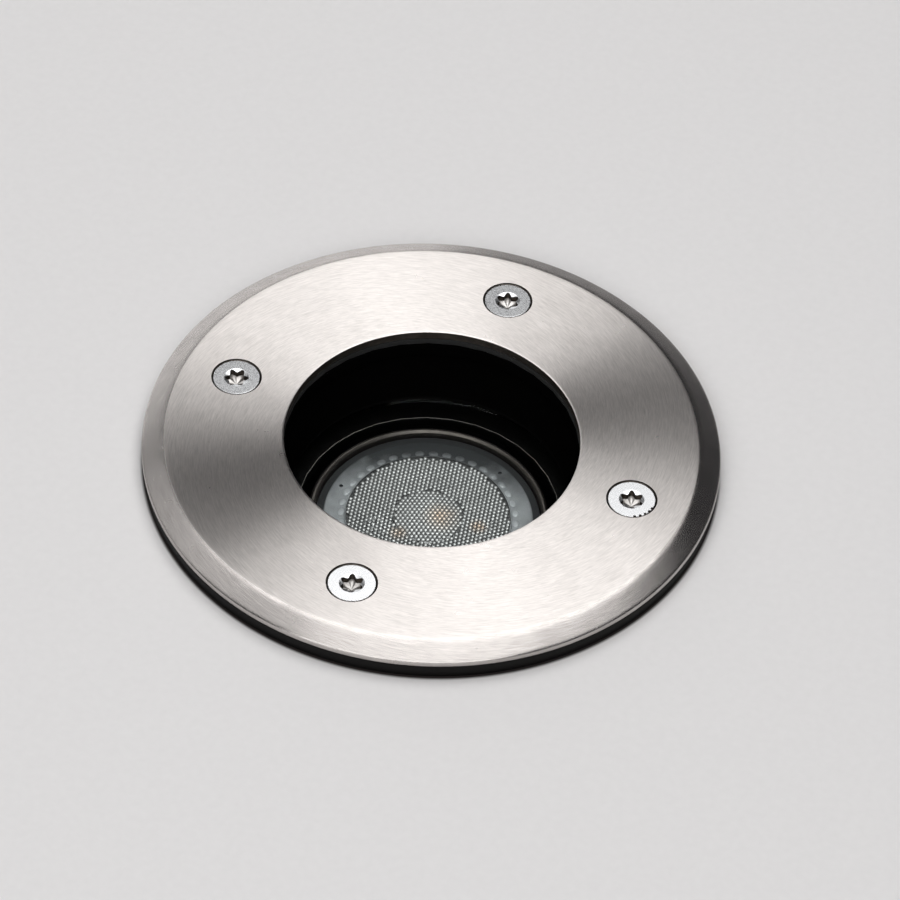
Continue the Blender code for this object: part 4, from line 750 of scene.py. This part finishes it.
screw_steel = metal("screw_steel", (0.77, 0.775, 0.785), (0.71, 0.715, 0.725), 0.27, 6000.0, 0.0)
socket_shade_steel = metal("socket_shade_steel", (0.09, 0.075, 0.065), (0.04, 0.034, 0.028), 0.42)
socket_floor_shade = metal("socket_floor_shade", (0.66, 0.64, 0.62), (0.36, 0.34, 0.325), 0.36, 2400.0)
for number, turn in SOCKET_TURNS.items():
    low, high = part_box(f"trim_screw_{number}")
    middle = (low + high) / 2
    notches = rim_notches() if number == 1 else ()
    screw = add_thread(cut(turned(SCREW_SECTION, SCREW_STEPS), mouth_cone(), socket_punch(turn), *notches))
    bmesh.ops.translate(screw, verts=screw.verts, vec=(middle.x, middle.y, 0))
    for face in screw.faces:
        centre = face.calc_center_median()
        radius = hypot(centre.x - middle.x, centre.y - middle.y)
        depth = RING_TOP - centre.z
        in_socket = radius < SOCKET_REACH and depth < SOCKET_DEPTH
        in_notch = NOTCH_INSIDE < radius < NOTCH_OUTSIDE and depth > HEAD_DEPTH
        # The socket's walls and the tool marks take the darkest steel, the socket's floor a paler one:
        # painted shade.
        if in_notch or in_socket and abs(face.normal.z) < 0.3:
            face.material_index = 1
        elif in_socket and depth > FLOOR_DEPTH:
            face.material_index = 2
    name = f"trim_screw_{number}"
    made = piece(name + "_turned", screw, screw_steel, "screw_steel", name, smooth=12)
    made.data.materials.append(socket_shade_steel)
    made.data.materials.append(socket_floor_shade)


# Stage: a round slab of pale paving with the sleeve's hole in it, and a plain soft studio light.

PAVING_SECTION = ((55.0, -6.4), (189.0, -6.4), (190.0, -7.4), (190.0, -9.4), (55.0, -9.4))
PAVING_STEPS = 192
STONE = (0.755, 0.741, 0.738)
PALE_STONE = (0.802, 0.788, 0.785)
# A dark ring round the brim, centred a little towards the front, is painted shadow at the brim's foot.
CONTACT_SHADOW = (0.016, 0.011, 0.010)
SHADOW_MIDDLE = (0.00009, -0.00027, RING_TOP - 0.0064)
SHADOW_RADIUS = {"From Min": 0.0584, "From Max": 0.0592}
material, surface, wire = finish("paving", Roughness=0.85)
place = wire.node("TexCoord", output="Object")
grain = wire.node("TexNoise", {}, {"Vector": place, "Scale": 600.0, "Detail": 3.0})
away = wire.node("VectorMath", {"operation": "DISTANCE"}, {0: place, 1: SHADOW_MIDDLE}, "Value")
past_shadow = wire.node("MapRange", {"interpolation_type": "SMOOTHSTEP"}, {"Value": away, **SHADOW_RADIUS})
wire.mix(past_shadow, CONTACT_SHADOW, wire.mix(grain, STONE, PALE_STONE)).to(surface["Base Color"])
mesh = bpy.data.meshes.new("paving")
slab = turned(PAVING_SECTION, PAVING_STEPS)
slab.to_mesh(mesh)
slab.free()
paving = bpy.data.objects.new("paving", mesh)
bpy.context.scene.collection.objects.link(paving)
mesh.materials.append(material)

VIEW_PLACE = (0.216505, -0.613898, 0.828608)
VIEW_TURN = 19.096
VIEW_DOWN = 46.364
VIEW_ROLL = 3.123
camera = bpy.data.objects.new("camera", bpy.data.cameras.new("camera"))
camera.data.sensor_width = 36.0
camera.data.lens = 185.96
camera.data.clip_start = 0.05
camera.matrix_world = (
    Matrix.Translation(VIEW_PLACE)
    @ Matrix.Rotation(radians(VIEW_TURN), 4, "Z")
    @ Matrix.Rotation(radians(90 - VIEW_DOWN), 4, "X")
    @ Matrix.Rotation(radians(VIEW_ROLL), 4, "Z")
)
bpy.context.scene.collection.objects.link(camera)
bpy.context.scene.camera = camera


def softbox(name, shape, azimuth, elevation, distance, width, height, radiance):
    """A flat light that faces the ring; azimuth is counted from +X, and radiance 1 shows as white."""
    lamp = bpy.data.lights.new(name, "AREA")
    lamp.shape = shape
    lamp.size = width
    lamp.size_y = height
    area = width * height * (pi / 4 if shape == "ELLIPSE" else 1)
    lamp.energy = 4 * area * radiance
    light = bpy.data.objects.new(name, lamp)
    light.matrix_world = (
        Matrix.Translation((0, 0, RING_TOP))
        @ Matrix.Rotation(radians(azimuth + 90), 4, "Z")
        @ Matrix.Rotation(radians(90 - elevation), 4, "X")
        @ Matrix.Translation((0, 0, distance))
    )
    light.visible_camera = False
    bpy.context.scene.collection.objects.link(light)


softbox("overhead_softbox", "ELLIPSE", 109, 82, 0.9, 1.04, 1.04, 0.68)
softbox("key_softbox", "ELLIPSE", 91, 70, 0.9, 0.80, 0.80, 1.42)
softbox("left_wall", "RECTANGLE", 178, 40, 1.0, 0.7, 0.65, 0.36)
softbox("back_wall", "RECTANGLE", 134, 13, 1.0, 0.9, 0.4, 0.85)
softbox("front_softbox", "RECTANGLE", 281, 43, 1.1, 1.3, 0.85, 1.68)

DARK_ROOM = (0.03, 0.03, 0.032)
PALE_FLOOR = (0.80, 0.80, 0.81)
HORIZON = {"From Min": 0.04, "From Max": 0.10}
world = bpy.data.worlds.new("studio")
bpy.context.scene.world = world
world.use_nodes = True
background = world.node_tree.nodes["Background"].inputs
wire = Wire(world.node_tree)
up = wire.node("SeparateXYZ", {}, {"Vector": wire.node("TexCoord", output="Generated")}, "Z")
low = 1 - wire.node("MapRange", {"interpolation_type": "SMOOTHSTEP"}, {"Value": up, **HORIZON})
wire.mix(low, DARK_ROOM, PALE_FLOOR).to(background["Color"])

scene = bpy.context.scene
scene.view_settings.view_transform = "Standard"
